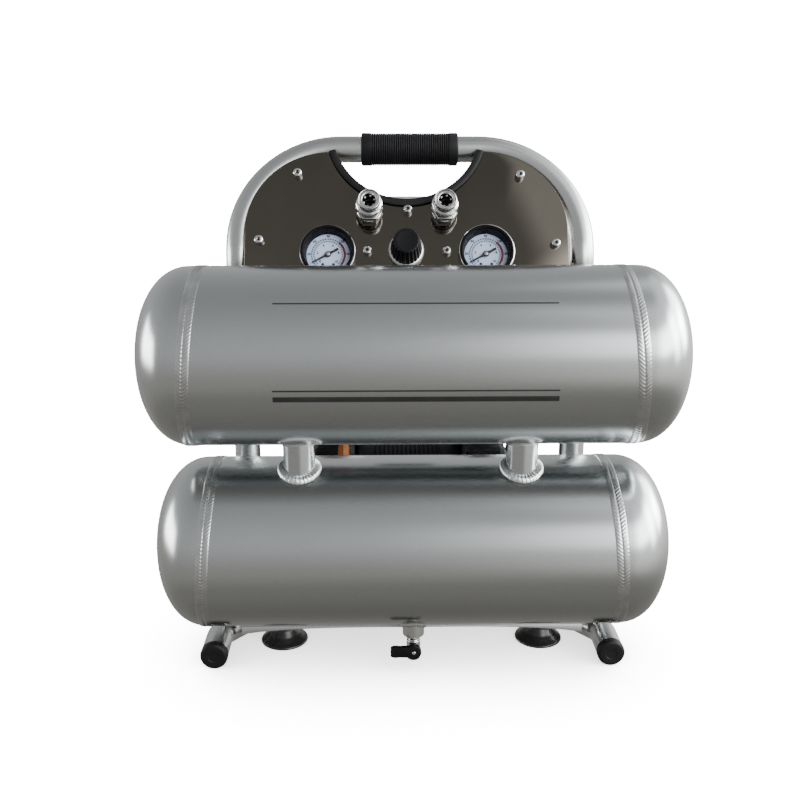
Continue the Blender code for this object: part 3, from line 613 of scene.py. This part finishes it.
def seam_weld(name, centre, radius, x, side):
    """Two rows of long overlapping ripples that meet in chevrons, on a slightly tilted ring."""
    half_width = 5.6 * MM
    ripples = 150
    per_ripple = 5
    across = 16
    rings = []
    for i in range(ripples * per_ripple):
        turn = math.tau * i / (ripples * per_ripple)
        wander = noise.noise(Vector((math.cos(turn) * 3, math.sin(turn) * 3, x * 30)))
        shift = SEAM_SHIFT[side] - side * SEAM_TILT * math.sin(turn)
        ring = []
        for k in range(across + 1):
            u = 2 * k / across - 1
            saw = ((ripples * turn - 9.0 * abs(u) + 0.8 * wander) / math.tau) % 1.0
            ripple = (1 - saw) ** 1.3
            crown = max(0.0, 1 - abs(u) ** 3.0) ** 0.6
            groove = 0.5 * math.exp(-(u / 0.10) ** 2)
            lift = crown * (0.45 + 0.55 * ripple - groove) * (1 + 0.2 * wander)
            r = radius + 0.72 * MM * lift - 0.05 * MM
            along = x + shift + half_width * u * (1 + 0.08 * wander)
            ring.append(Vector((along, centre.y - r * math.cos(turn), centre.z + r * math.sin(turn))))
        rings.append(ring)
    bead = loft(name, rings, closed_rings=False, closed_loft=True)
    finish_piece(bead, SEAM, sharp=75)


def tank_surface(place, y, lift=0.0, below=False):
    """Height of a tank's skin over a point beside its axis."""
    centre, radius, _, _ = place
    rise = math.sqrt((radius + lift) ** 2 - (y - centre.y) ** 2)
    return centre.z - rise if below else centre.z + rise


def link_pipes():
    for word in ("left", "right"):
        low, high = box_of("tank_link_pipe_" + word)
        middle = (low + high) / 2
        radius = (high.x - low.x) / 2
        steps = 72
        bottom, top = [], []
        for i in range(steps):
            a = math.tau * i / steps
            x = middle.x + radius * math.cos(a)
            y = middle.y + radius * math.sin(a)
            bottom.append(Vector((x, y, tank_surface(LOWER, y))))
            top.append(Vector((x, y, tank_surface(UPPER, y, below=True))))
        skin = loft(f"link_pipe_{word}_skin", [bottom, [(a + b) / 2 for a, b in zip(bottom, top)], top])
        finish_piece(skin, TANK_SILVER, stands_for=("tank_link_pipe_" + word,))
        collar_weld(f"link_pipe_{word}_lower_weld", middle, radius, LOWER, False, 5.8 * MM, 3.0 * MM)
        collar_weld(f"link_pipe_{word}_upper_weld", middle, radius, UPPER, True, 1.4 * MM, 0.9 * MM)


def collar_weld(name, middle, radius, place, below, width, height):
    """A rippled fillet where a pipe meets a tank, following the saddle between them."""
    ripples = 34
    per_ripple = 8
    across = 9
    rings = []
    for i in range(ripples * per_ripple):
        a = math.tau * i / (ripples * per_ripple)
        out = polar(1, a)
        wander = noise.noise(Vector((out.x * 2.2, out.y * 2.2, middle.x * 40)))
        saw = (ripples * a / math.tau + 0.4 * wander) % 1.0
        swell = 1 + 0.42 * (1 - saw) ** 1.3 + 0.22 * wander
        ring = []
        for k in range(across + 1):
            t = math.pi / 2 * k / across
            r = radius - 0.4 * MM + width * math.sin(t) * (0.86 + 0.14 * swell)
            y = middle.y + r * out.y
            lift = height * math.cos(t) ** 0.8 * swell * 0.86
            bulge = 0.9 * MM * math.sin(2 * t) * swell
            z = tank_surface(place, y, bulge - 0.15 * MM, below) + (-lift if below else lift)
            ring.append(Vector((middle.x + r * out.x, y, z)))
        rings.append(ring)
    bead = loft(name, rings, closed_rings=False, closed_loft=True)
    finish_piece(bead, WELD, sharp=70)


def tank_decal():
    """Three plain stripes wrapped on the front of the upper tank, with no lettering."""
    centre, radius, _, _ = UPPER
    half = 116.5 * MM
    stripes = [(46, 1.3 * MM), (-8, 1.3 * MM), (-13.5, 4.6 * MM)]    # degrees up the front, width
    work = bmesh.new()
    for degrees, width in stripes:
        middle = math.radians(degrees)
        reach = width / radius / 2
        rows = []
        for j in range(5):
            a = middle - reach + 2 * reach * j / 4
            r = radius + 0.08 * MM
            rows.append([work.verts.new((-half + 2 * half * i / 40, centre.y - r * math.cos(a),
                                         centre.z + r * math.sin(a))) for i in range(41)])
        for a_row, b_row in zip(rows, rows[1:]):
            for i in range(40):
                work.faces.new((a_row[i], a_row[i + 1], b_row[i + 1], b_row[i]))
    finish_piece(from_bmesh(work, "tank_pinstripes"), DECAL)


def drain():
    low, high = box_of("drain_boss")
    middle = (low + high) / 2
    radius = (high.x - low.x) / 2
    steps = 56
    top, shoulder, edge, base = [], [], [], []
    foot = Vector((middle.x, middle.y, low.z))
    for i in range(steps):
        a = math.tau * i / steps
        base.append(foot + polar(5 * MM, a))
        edge.append(foot + polar(radius - 1 * MM, a))
        shoulder.append(foot + polar(radius, a, 1 * MM))
        x, y, _ = shoulder[-1]
        top.append(Vector((x, y, tank_surface(LOWER, y, below=True) + 0.3 * MM)))
    boss = loft("drain_boss_skin", [top, shoulder, edge, base])
    finish_piece(boss, FRAME_SILVER, stands_for=("drain_boss",))
    collar_weld("drain_boss_weld", middle, radius, LOWER, True, 2.6 * MM, 2.2 * MM)

    low, high = box_of("drain_valve_body")
    foot, top = low.z / MM, high.z / MM
    profile = [(0, top), (7.2, top), (7.2, top - 1.2), (5.2, top - 1.6), (5.2, top - 4), (6.4, top - 5),
               (6.4, foot + 6.5), (5.4, foot + 5.5), (6.5, foot + 4), (6.5, foot + 1.2), (5.4, foot),
               (3.2, foot), (3.2, foot + 5), (0, foot + 5)]
    at = Matrix.Translation((middle.x, middle.y, 0))
    body = lathe("drain_cock_body", soften(profile, 0.6), at, 48)
    pivot = Vector(joint("drain_lever_turn")["pos_m"])
    facing = along_front(pivot)
    profile = [(0, 2.5), (3.4, 2.5), (3.4, -11), (0, -11)]
    stem = lathe("drain_cock_stem", soften(profile, 0.3), facing, 32)
    cock = merged("drain_cock", [body, stem])
    finish_piece(cock, CHROME, stands_for=("drain_valve_body",))

    half, tip, corner = 5.1, -20.0, 1.4
    outline = arc(0, 0, 7.0, -132, 132, 26) + [(-8, half), (tip - 0.4, half - 0.5)]
    outline += arc(tip, half - 1.9, corner, 100, 180, 4) + arc(tip, 1.9 - half, corner, 180, 260, 4)
    outline += [(tip - 0.4, 0.5 - half), (-8, -half)]
    lever = prism("drain_cock_lever", mm(outline), -2.4 * MM, 3.2 * MM, facing, 0.9 * MM)
    finish_piece(lever, PLASTIC, "drain_handle", ("drain_lever",))
    profile = [(0, 4.2), (1.2, 4.2), (1.7, 3.7), (1.7, 3.1), (0, 3.1)]
    cap = lathe("drain_lever_screw", soften(profile, 0.4), facing, 24)
    finish_piece(cap, CHROME, "drain_handle")


# ------------------------------ frame, grip and feet
TUBE_R = 12.7 * MM
HOOP_RISE = 111 * MM
HOOP_CORNER = 98 * MM
LEG_X = 165.5 * MM
FOOT_Z = 13 * MM
FOOT_X = 187 * MM
FOOT_Y = UPPER[0].y - 14 * MM


def hoop():
    leg_y = LEAN_ORIGIN.y
    half = [(Vector((-FOOT_X, FOOT_Y, FOOT_Z)), 0),
            (Vector((-FOOT_X, FOOT_Y + 37 * MM, FOOT_Z)), 25 * MM),
            (Vector((-LEG_X, FOOT_Y + 63 * MM, FOOT_Z)), 25 * MM),
            (Vector((-LEG_X, leg_y, FOOT_Z)), 46 * MM),
            (Vector((-LEG_X, leg_y, LEAN_ORIGIN.z)), 40 * MM),
            (Vector((-LEG_X, leg_y, LEAN_ORIGIN.z)) + UP_PANEL * HOOP_RISE, HOOP_CORNER)]
    other = [(Vector((-p.x, p.y, p.z)), r) for p, r in reversed(half)]
    skin = pipe("frame_tube_skin", rounded_path(half + other), TUBE_R, 40)
    finish_piece(skin, FRAME_SILVER, stands_for=("frame_tube",), sharp=50)


def grip():
    low, high = box_of("handle_grip")
    half = (high.x - low.x) / 2
    outer = 16 * MM
    plain = 9 * MM
    ribs = 36
    profile = [(TUBE_R, half), (outer - 1.2 * MM, half), (outer - 0.3 * MM, half - 0.5 * MM),
               (outer, half - 1.4 * MM), (outer, half - plain)]
    span = 2 * (half - plain)
    for i in range(ribs):
        start = half - plain - span * i / ribs
        for t, dip in ((0.15, 0.9), (0.35, 1.0), (0.50, 0.6), (0.62, 0.1), (0.80, 0.0), (0.95, 0.3)):
            profile.append((outer - 1.0 * MM * dip, start - span / ribs * t))
    profile += [(outer, plain - half), (outer, 1.4 * MM - half), (outer - 0.3 * MM, 0.5 * MM - half),
                (outer - 1.2 * MM, -half), (TUBE_R, -half)]
    at = on_panel(0, HOOP_RISE) @ Matrix.Rotation(math.pi / 2, 4, "Y")
    finish_piece(lathe("handle_grip_ribbed", profile, at, 72), GRIP, stands_for=("handle_grip",),
                 sharp=50)


def feet():
    for side, word in ((-1, "left"), (1, "right")):
        start = Vector((side * FOOT_X, FOOT_Y, FOOT_Z))
        profile = soften([(0, 7.4), (5.2, 7.5), (5.6, 7.9), (10.8, 7.9), (13, 6.4), (13, 0.4),
                          (12.6, 0), (0, 0)], 0.9, 4)
        cap = lathe(f"foot_cap_{word}_moulded", profile, along_front(start), 56)
        finish_piece(cap, RUBBER, stands_for=("foot_cap_" + word,), sharp=40)
        for end in ("front", "rear"):
            node = f"foot_cup_{end}_{word}"
            at, top, r = upright(node)
            rim = [(0, top), (10.6, top), (11.4, top - 1), (11.2, top - 6), (12.2, 14), (15.5, 8.4),
                   (19.5, 4.4), (r - 0.4, 2.2), (r, 1.2), (r, 0.2), (r - 0.6, 0), (r - 4, 0), (10, 5),
                   (0, 7)]
            cup = lathe(node + "_moulded", soften(rim, 1.2, 4), at, 72)
            finish_piece(cup, CUP_RUBBER, stands_for=(node,), sharp=50)
            plate_top = Vector((at.translation.x, at.translation.y, box_of("base_plate")[1].z))
            bolt = hex_bolt(node + "_bolt", Matrix.Translation(plate_top))
            finish_piece(bolt, STEEL)


def hexagon(across):
    r = across / math.sqrt(3)
    return [tuple(polar(r, math.pi / 3 * i).xy) for i in range(6)]


def hex_bolt(name, at):
    washer = lathe("washer", soften([(0, 1.2), (8, 1.2), (8, 0), (0, 0)], 0.3), at, 32)
    nut = prism("nut", hexagon(10 * MM), 1.2 * MM, 5 * MM, at, 0.5 * MM, 2)
    stud = lathe("stud", soften([(0, 7), (2.8, 7), (2.8, 4), (0, 4)], 0.4), at, 24)
    return merged(name, [washer, nut, stud])


def base_plate():
    low, high = box_of("base_plate")
    leg_y = LEAN_ORIGIN.y
    shoulder = leg_y - 62 * MM
    waist = 148 * MM
    half = arc(high.x - 8 * MM, low.y + 8 * MM, 8 * MM, -90, 0, 6) + [(high.x, shoulder - 4 * MM)]
    half += [(high.x - 4 * MM, shoulder), (waist + 4 * MM, shoulder + 5 * MM), (waist, shoulder + 9 * MM)]
    half += arc(waist - 10 * MM, high.y - 10 * MM, 10 * MM, 0, 90, 6)
    outline = half + [(-x, y) for x, y in reversed(half)]
    plate = prism("base_plate_sheet", outline, low.z, high.z, Matrix.Identity(4), 0.8 * MM, 3)
    finish_piece(plate, FRAME_SILVER, stands_for=("base_plate",))
    lip = []
    span = high.x - 10 * MM
    for i in range(61):
        x = -span + 2 * span * i / 60
        sag = 6.5 * MM * abs(x / span) ** 4
        fold = [(0.2 * MM, high.z - 0.8 * MM), (-0.9 * MM, high.z - 2.0 * MM), (-0.9 * MM, low.z - sag),
                (0.4 * MM, low.z - sag), (0.6 * MM, low.z)]
        lip.append([Vector((x, low.y + y, z)) for y, z in fold])
    skirt = loft("base_plate_front_fold", lip, closed_rings=False)
    finish_piece(skirt, FRAME_SILVER, sharp=60)


# ------------------------------ control panel
SHEET_BACK = 13 * MM
SHEET_FRONT = 15 * MM
SHEET_X = -3.6 * MM
SHEET_HALF = 155 * MM
SHEET_TOP = 101 * MM
SHEET_CORNER = 80 * MM
SHEET_DROP = 28 * MM
CUT_S = 123.4 * MM
CUT_R = 78 * MM
TRIM_WIDTH = 7 * MM


def pierced_sheet(name, outline, holes, bottom, top, at, bevel):
    """A flat sheet with round holes and a rounded front edge."""
    work = bmesh.new()
    outer = []
    for points in [outline] + holes:
        loop = [work.verts.new((x, y, top)) for x, y in points]
        for a, b in zip(loop, loop[1:] + loop[:1]):
            edge = work.edges.new((a, b))
            if points is outline:
                outer.append(edge)
    bmesh.ops.triangle_fill(work, use_beauty=True, use_dissolve=False, edges=list(work.edges),
                            normal=(0, 0, 1))
    raised = bmesh.ops.extrude_face_region(work, geom=list(work.faces))
    for item in raised["geom"]:
        if isinstance(item, bmesh.types.BMVert):
            item.co.z = bottom
    outer = [e for e in outer if e.is_valid]
    bmesh.ops.recalc_face_normals(work, faces=work.faces)
    bmesh.ops.bevel(work, geom=outer, offset=bevel, segments=3, affect="EDGES", profile=0.5)
    return from_bmesh(work, name, at)


def circle(cx, cy, radius, count):
    return arc(cx, cy, radius, 0, 360 - 360 / count, count - 1)


def control_panel():
    meet = math.degrees(math.asin((SHEET_TOP - CUT_S) / CUT_R))
    moon = arc(0, CUT_S, CUT_R, meet, -180 - meet, 72)
    right = arc(SHEET_HALF - SHEET_CORNER, SHEET_TOP - SHEET_CORNER, SHEET_CORNER, 0, 90, 32)
    left = [(-x, y) for x, y in reversed(right)]
    outline = [(-SHEET_HALF, -SHEET_DROP), (SHEET_HALF, -SHEET_DROP)] + right + moon + left
    holes = []
    for word in ("left", "right"):
        x, s = panel_xs("gauge_case_" + word)
        holes.append(circle(x - SHEET_X, s, 24.4 * MM, 64))
    at = on_panel(SHEET_X, 0)
    plate = pierced_sheet("control_panel_sheet", outline, holes, SHEET_BACK, SHEET_FRONT, at, 0.9 * MM)
    finish_piece(plate, PANEL_PAINTED_DARK, stands_for=("control_panel",), sharp=40)

    rings = []
    count = 96
    ends = math.asin((SHEET_TOP - CUT_S) / CUT_R) + 0.004
    half = TRIM_WIDTH / 2 / MM
    section = mm([(half, 1.9), (half - 0.6, 2.2), (0, 2.6), (0.6 - half, 2.2), (-half, 1.2), (-half, -1.0),
                  (0, -1.8), (half, -1.8)])
    middle = CUT_R - TRIM_WIDTH / 2 + 0.3 * MM
    for i in range(count + 1):
        a = ends + (-math.pi - 2 * ends) * i / count
        rings.append([at @ (polar(middle + out, a, SHEET_FRONT + off) + Vector((0, CUT_S, 0)))
                      for out, off in section])
    trim = loft("panel_edge_trim_bead", rings, caps=True)
    finish_piece(trim, RUBBER, stands_for=("panel_edge_trim",), sharp=50)


def panel_screws():
    for number in range(1, 8):
        node = f"panel_screw_{number}"
        x, s = panel_xs(node)
        at = on_panel(x, s, SHEET_FRONT)
        profile = soften([(0, 4.0), (1.5, 4.0), (1.6, 5.8), (3.0, 5.7), (4.1, 4.8), (4.4, 3.4),
                          (4.4, 0)], 0.35, 3)
        # The screw's recess is painted near-black as shade
        recess = lathe(node + "_recess", mm([(0, 4.1), (1.45, 4.1), (1.5, 5.4)]), at, 24)
        finish_piece(recess, BORE_PAINTED_SHADE)
        head = lathe(node + "_head", profile, at, 40)
        finish_piece(head, CHROME, stands_for=(node,))


# ------------------------------ gauges
SCALE_START = 222                     # degrees, anticlockwise from the dial's right
SCALE_SWEEP = 264
NEEDLE_REST = math.radians(209)


def scale_angle(part):
    return math.radians(SCALE_START - SCALE_SWEEP * part)


def numerals(values, radius, size, at):
    """Plain scale numbers set round a dial, as flat meshes."""
    made = []
    for part, text in values:
        curve = bpy.data.curves.new("number", "FONT")
        curve.body = text
        curve.size = size
        curve.align_x = curve.align_y = "CENTER"
        curve.resolution_u = 2
        curve.offset = 0.04 * size
        holder = bpy.data.objects.new("number", curve)
        bpy.context.scene.collection.objects.link(holder)
        bpy.context.view_layer.update()
        graph = bpy.context.evaluated_depsgraph_get()
        mesh = bpy.data.meshes.new_from_object(holder.evaluated_get(graph))
        bpy.data.objects.remove(holder, do_unlink=True)
        a = scale_angle(part)
        mesh.transform(at @ Matrix.Translation(polar(radius, a)))
        made.append(bpy.data.objects.new("number", mesh))
    return made


def ticks(count, inner, outer, width, at):
    """Marks along the scale, measured in millimetres."""
    work = bmesh.new()
    for i in range(count + 1):
        out = polar(MM, scale_angle(i / count))
        side = Vector((-out.y, out.x, 0)) * width / 2
        corners = [out * inner - side, out * outer - side, out * outer + side, out * inner + side]
        work.faces.new([work.verts.new(at @ p) for p in corners])
    return from_bmesh(work, "ticks")


def ring_band(inner, outer, start, end, count, at):
    """A flat band between two radii in millimetres."""
    work = bmesh.new()
    rows = []
    for i in range(count + 1):
        a = start + (end - start) * i / count
        out = polar(MM, a)
        rows.append((work.verts.new(at @ (out * inner)), work.verts.new(at @ (out * outer))))
    for (a, b), (c, d) in zip(rows, rows[1:]):
        work.faces.new((a, b, d, c))
    return from_bmesh(work, "band")


def gauge(word, rim_finish):
    case = "gauge_case_" + word
    pos = Vector(joint(f"gauge_needle_{word}_swing")["pos_m"])
    local = LEAN.inverted() @ pos
    at = on_panel(local.x, local.y)
    dial, top, seat = 12.0, 24.5, 15.3       # heights in millimetres, as in the profiles
    profile = [(0, dial - 0.4), (20.8, dial - 0.4), (22.2, top - 1.6), (23.0, top - 0.1),
               (25.0, top - 0.1), (25.9, top - 1.4), (26.0, seat), (24, seat), (24, -8), (0, -8)]
    body = lathe(case + "_body", soften(profile, 0.8, 4), at, 96)
    finish_piece(body, BEZEL, stands_for=(case,))
    profile = [(25.8, top - 1.2), (26.4, top - 1.5), (26.8, top - 2.8), (26.8, seat + 0.1),
               (25.8, seat + 0.1)]
    band = lathe(case + "_chrome_rim", soften(profile, 0.5, 3), at, 96, closed=True)
    finish_piece(band, rim_finish)
    profile = [(0, dial + 0.2), (20.6, dial + 0.2), (20.8, dial - 0.2)]
    face = lathe(f"gauge_{word}_dial", soften(profile, 0.2), at, 96)
    finish_piece(face, DIAL)

    flat = at @ Matrix.Translation((0, 0, (dial + 0.28) * MM))
    marks = [ticks(60, 15.2, 16.2, 0.40, flat), ticks(30, 15.0, 16.6, 0.95, flat),
             ticks(50, 12.9, 13.8, 0.36, flat), ticks(25, 12.6, 14.0, 0.85, flat),
             ring_band(15.2, 15.38, scale_angle(0), scale_angle(1), 90, flat),
             ring_band(13.8, 14.05, scale_angle(0), scale_angle(1), 90, flat)]
    marks += numerals([(i / 6, str(30 * i)) for i in range(7)], 18.4 * MM, 3.3 * MM, flat)
    marks += numerals([(i / 5, str(2 * i)) for i in range(6)], 10.2 * MM, 3.4 * MM, flat)
    finish_piece(merged(f"gauge_{word}_scale", marks), INK)
    over = flat @ Matrix.Translation((0, 0, 0.04 * MM))
    red = ring_band(14.7, 16.9, math.radians(50), math.radians(-39), 48, over)
    red.name = f"gauge_{word}_red_band"
    finish_piece(red, RED_INK)
    profile = soften([(0, 0.9), (0.9, 0.9), (1.4, 0.3), (1.4, 0)], 0.2)
    studs = [lathe("stud", profile, at @ Matrix.Translation(Vector((x, -9.6, dial)) * MM), 20)
             for x in (-5.1, 5.1)]
    finish_piece(merged(f"gauge_{word}_dial_studs", studs), INK)

    spin = at @ Matrix.Translation((0, 0, (dial + 2.2) * MM)) @ Matrix.Rotation(NEEDLE_REST, 4, "Z")
    outline = [(17, -0.55), (17.7, 0), (17, 0.55), (4, 1.0)] + arc(0, 0, 3.0, 30, 150, 12)
    outline += [(-5.6, 1.05), (-10.9, 1.25), (-11.3, 0), (-10.9, -1.25), (-5.6, -1.05)]
    outline += arc(0, 0, 3.0, 210, 330, 12) + [(4, -1.0)]
    pointer = prism(f"gauge_{word}_pointer", mm(outline), -0.3 * MM, 0.3 * MM, spin, 0.1 * MM, 1)
    profile = [(0, 1.3), (1.6, 1.3), (2.1, 0.6), (2.1, -1.5), (0, -1.5)]
    boss = lathe(f"gauge_{word}_pointer_hub", soften(profile, 0.4), spin, 32)
    finish_piece(pointer, NEEDLE, "needle_" + word, ("gauge_needle_" + word,))
    finish_piece(boss, STEEL, "needle_" + word)
    glass = lathe(f"gauge_{word}_glass", mm([(0, 21.9), (8, 21.8), (16, 21.5), (22.0, 21.0)]), at, 96)
    finish_piece(glass, LENS, stands_for=("gauge_lens_" + word,))


# ------------------------------ couplers and regulator
def coupler(word):
    x, s = panel_xs("coupler_body_" + word)
    at = on_panel(x, s)
    seat = SHEET_FRONT / MM + 0.3
    profile = [(6.0, 30), (6.0, 41.6), (6.9, 43), (9.0, 43), (9.0, 22)]
    barrel = lathe("barrel", soften(profile, 0.5), at)
    nut = prism("nut", hexagon(22.5 * MM), 17.0 * MM, 23.2 * MM, at, 1.0 * MM, 3)
    profile = [(9, 17.4), (11.6, 17.2), (12.2, 16.4), (12.2, seat), (0, seat)]
    neck = lathe("neck", soften(profile, 0.4), at)
    floor_disc = lathe("inside", mm([(6.0, 30), (4.4, 29.6), (4.0, 26), (0, 26)]), at, 40)
    finish_piece(merged(f"coupler_{word}_body", [barrel, nut, neck, floor_disc]), CHROME,
                 stands_for=("coupler_body_" + word,))
    balls = []
    for i in range(6):
        ball = bmesh.new()
        bmesh.ops.create_uvsphere(ball, u_segments=16, v_segments=10, radius=1.5 * MM)
        spot = at @ Matrix.Translation(polar(5.6 * MM, math.pi / 3 * i + 0.3, 38.5 * MM))
        balls.append(from_bmesh(ball, "ball", spot))
    finish_piece(merged(f"coupler_{word}_balls", balls), STEEL)
    # The coupler's bore lining is painted near-black as shade
    lining = mm([(5.92, 41.0), (5.92, 30.2), (4.3, 29.9), (3.9, 26.3), (0, 26.2)])
    finish_piece(lathe(f"coupler_{word}_bore", lining, at, 40), BORE_PAINTED_SHADE)

    profile = [(9.3, 28.7), (11.8, 28.6), (12.6, 29.4), (12.6, 30.6), (12.1, 31.0),
               (12.6, 31.4), (12.6, 33.0), (11.4, 34.2), (9.9, 35.0), (9.9, 37.6), (10.9, 38.8),
               (11.0, 42.2), (10.3, 43.6), (9.9, 44.0), (9.5, 43.7), (9.3, 42.4)]
    sleeve = lathe(f"coupler_{word}_sleeve", soften(profile, 0.35, 2), at, 80)
    finish_piece(sleeve, CHROME, "sleeve_" + word, ("coupler_sleeve_" + word,),
                 sharp=40)


def knob():
    at = on_panel(KNOB_JOINT["pos_m"][0], KNOB_S)
    flutes = 22
    steps = flutes * 10
    rings = []
    # radius, height and how deep the flutes are there
    levels = [(14.2, 19.9, 0.2), (15.2, 20.4, 0.6), (15.2, 21.6, 1.0), (14.3, 29, 1.0), (13.0, 38, 1.0),
              (12.7, 41.4, 1.0), (12.4, 42.9, 0.7), (11.6, 43.8, 0.25), (10.8, 44.0, 0.0),
              (8.6, 43.7, 0.0), (4, 43.55, 0.0), (0.4, 43.5, 0.0)]
    for r, z, depth in levels:
        ring = []
        for i in range(steps):
            a = math.tau * i / steps
            wave = (0.5 - 0.5 * math.cos(flutes * a)) ** 2
            ring.append(at @ polar((r - 1.15 * depth * wave) * MM, a, z * MM))
        rings.append(ring)
    skin = loft("regulator_knob_fluted", rings, caps=True)
    finish_piece(skin, PLASTIC, "knob", ("regulator_knob",), sharp=40)
    profile = [(9, 19.6), (15.4, 19.4), (17.0, 18.2), (17.0, 15.3), (9, 15.3)]
    ring = lathe("regulator_lock_ring", soften(profile, 0.8, 4), at, 96)
    finish_piece(ring, CHROME)


# ------------------------------ pump
def pump_cylinder(word):
    node = "pump_cylinder_" + word
    at, height, radius = upright(node)
    core = radius - 6
    bore = 20
    head = 13
    fins = 7
    profile = [(bore, 1), (bore, height - 8), (0, height - 8), (0, height), (radius - 3, height),
               (radius, height - 2), (radius, height - head)]
    pitch = (height - head - 3) / fins
    for i in range(fins):
        high = height - head - pitch * i
        low = high - pitch
        profile += [(core, high - 0.3), (core, low + 2.2), (radius, low + 1.8), (radius, low + 0.2)]
    profile += [(core, 2.6), (core, 0.2), (bore, 0.2)]
    made = lathe(node + "_finned", soften(profile, 0.4, 2), at, 80)
    finish_piece(made, CAST, stands_for=(node,))
    bolts = []
    for i in range(4):
        spot = at @ Matrix.Translation(polar(radius - 7, math.pi / 4 + math.pi / 2 * i, height) * MM)
        bolts.append(prism("bolt", hexagon(5.5 * MM), 0, 2.6 * MM, spot, 0.4 * MM, 2))
    finish_piece(merged(f"cylinder_{word}_head_bolts", bolts), STEEL)


def intake_filter(word):
    node = "intake_filter_" + word
    at, height, radius = upright(node)
    neck = 8
    groove = radius - 0.9
    profile = [(0, height), (radius - 2.5, height), (radius, height - 2.5)]
    for i in range(5):
        high = height - 5 - 2.8 * i
        profile += [(radius, high), (groove, high - 0.6), (groove, high - 1.4), (radius, high - 2.0)]
    profile += [(neck, 4), (neck, 0.1), (0, 0.1)]
    made = lathe(node + "_moulded", soften(profile, 0.3, 2), at, 56)
    finish_piece(made, PLASTIC, stands_for=(node,))


def motor_case():
    at, half, radius = lying("motor_housing")
    bore = 32
    groove = radius - 2.2
    rings = 15
    reach = half * 0.62               # the ribbed band's half length
    width = 2 * reach / rings
    profile = [(bore, half), (radius - 5, half), (radius - 1.4, half - 3)]
    for i in range(rings):
        start = reach - width * i
        profile += [(groove, start), (groove, start - width * 0.35), (radius, start - width * 0.5),
                    (radius, start - width * 0.85)]
    profile += [(groove, -reach), (radius - 1.4, 3 - half), (radius - 5, -half), (bore, -half)]
    made = lathe("motor_case_ribbed", soften(profile, 0.4, 2), at, 112, closed=True)
    finish_piece(made, PUMP_BLACK, stands_for=("motor_housing",))


def capacitor():
    at, half, radius = lying("run_capacitor")
    can = radius - 0.8
    profile = [(0, half - 1.5), (radius - 3, half - 1.5), (radius - 2, half), (radius, half - 1.5),
               (radius, 10 - half), (can, 9 - half), (can, 2 - half), (radius - 2.5, -half), (0, -half)]
    made = lathe("run_capacitor_can", soften(profile, 0.6, 3), at, 64)
    finish_piece(made, PLASTIC, stands_for=("run_capacitor",))


# ------------------------------ carried-over nodes
CARRIED = {
    "regulator_manifold": CAST, "pressure_switch": PLASTIC, "switch_lever": RED, "safety_valve": BRASS,
    "safety_pull_ring": STEEL, "motor_shaft": STEEL, "cooling_fan_left": PLASTIC,
    "cooling_fan_right": PLASTIC, "crankcase_left": PUMP_BLACK, "crankcase_right": PUMP_BLACK,
    "piston_left": STEEL, "piston_right": STEEL, "discharge_pipe": COPPER, "cord_gland": PLASTIC,
}


def carried_over():
    for node, finish in CARRIED.items():
        obj = frame["nodes"][node]
        obj.data.materials.clear()
        obj.data.materials.append(finish)


# ------------------------------ build everything
camera()
studio_world()
floor()
tank("upper", UPPER)
tank("lower", LOWER)
link_pipes()
tank_decal()
drain()
hoop()
grip()
feet()
base_plate()
control_panel()
panel_screws()
# The left rim is the same chrome as the right one, painted darker as shade
gauge("left", CHROME_PAINTED_SHADE)
gauge("right", CHROME)
coupler("left")
coupler("right")
knob()
for word in ("left", "right"):
    pump_cylinder(word)
    intake_filter(word)
motor_case()
capacitor()
carried_over()
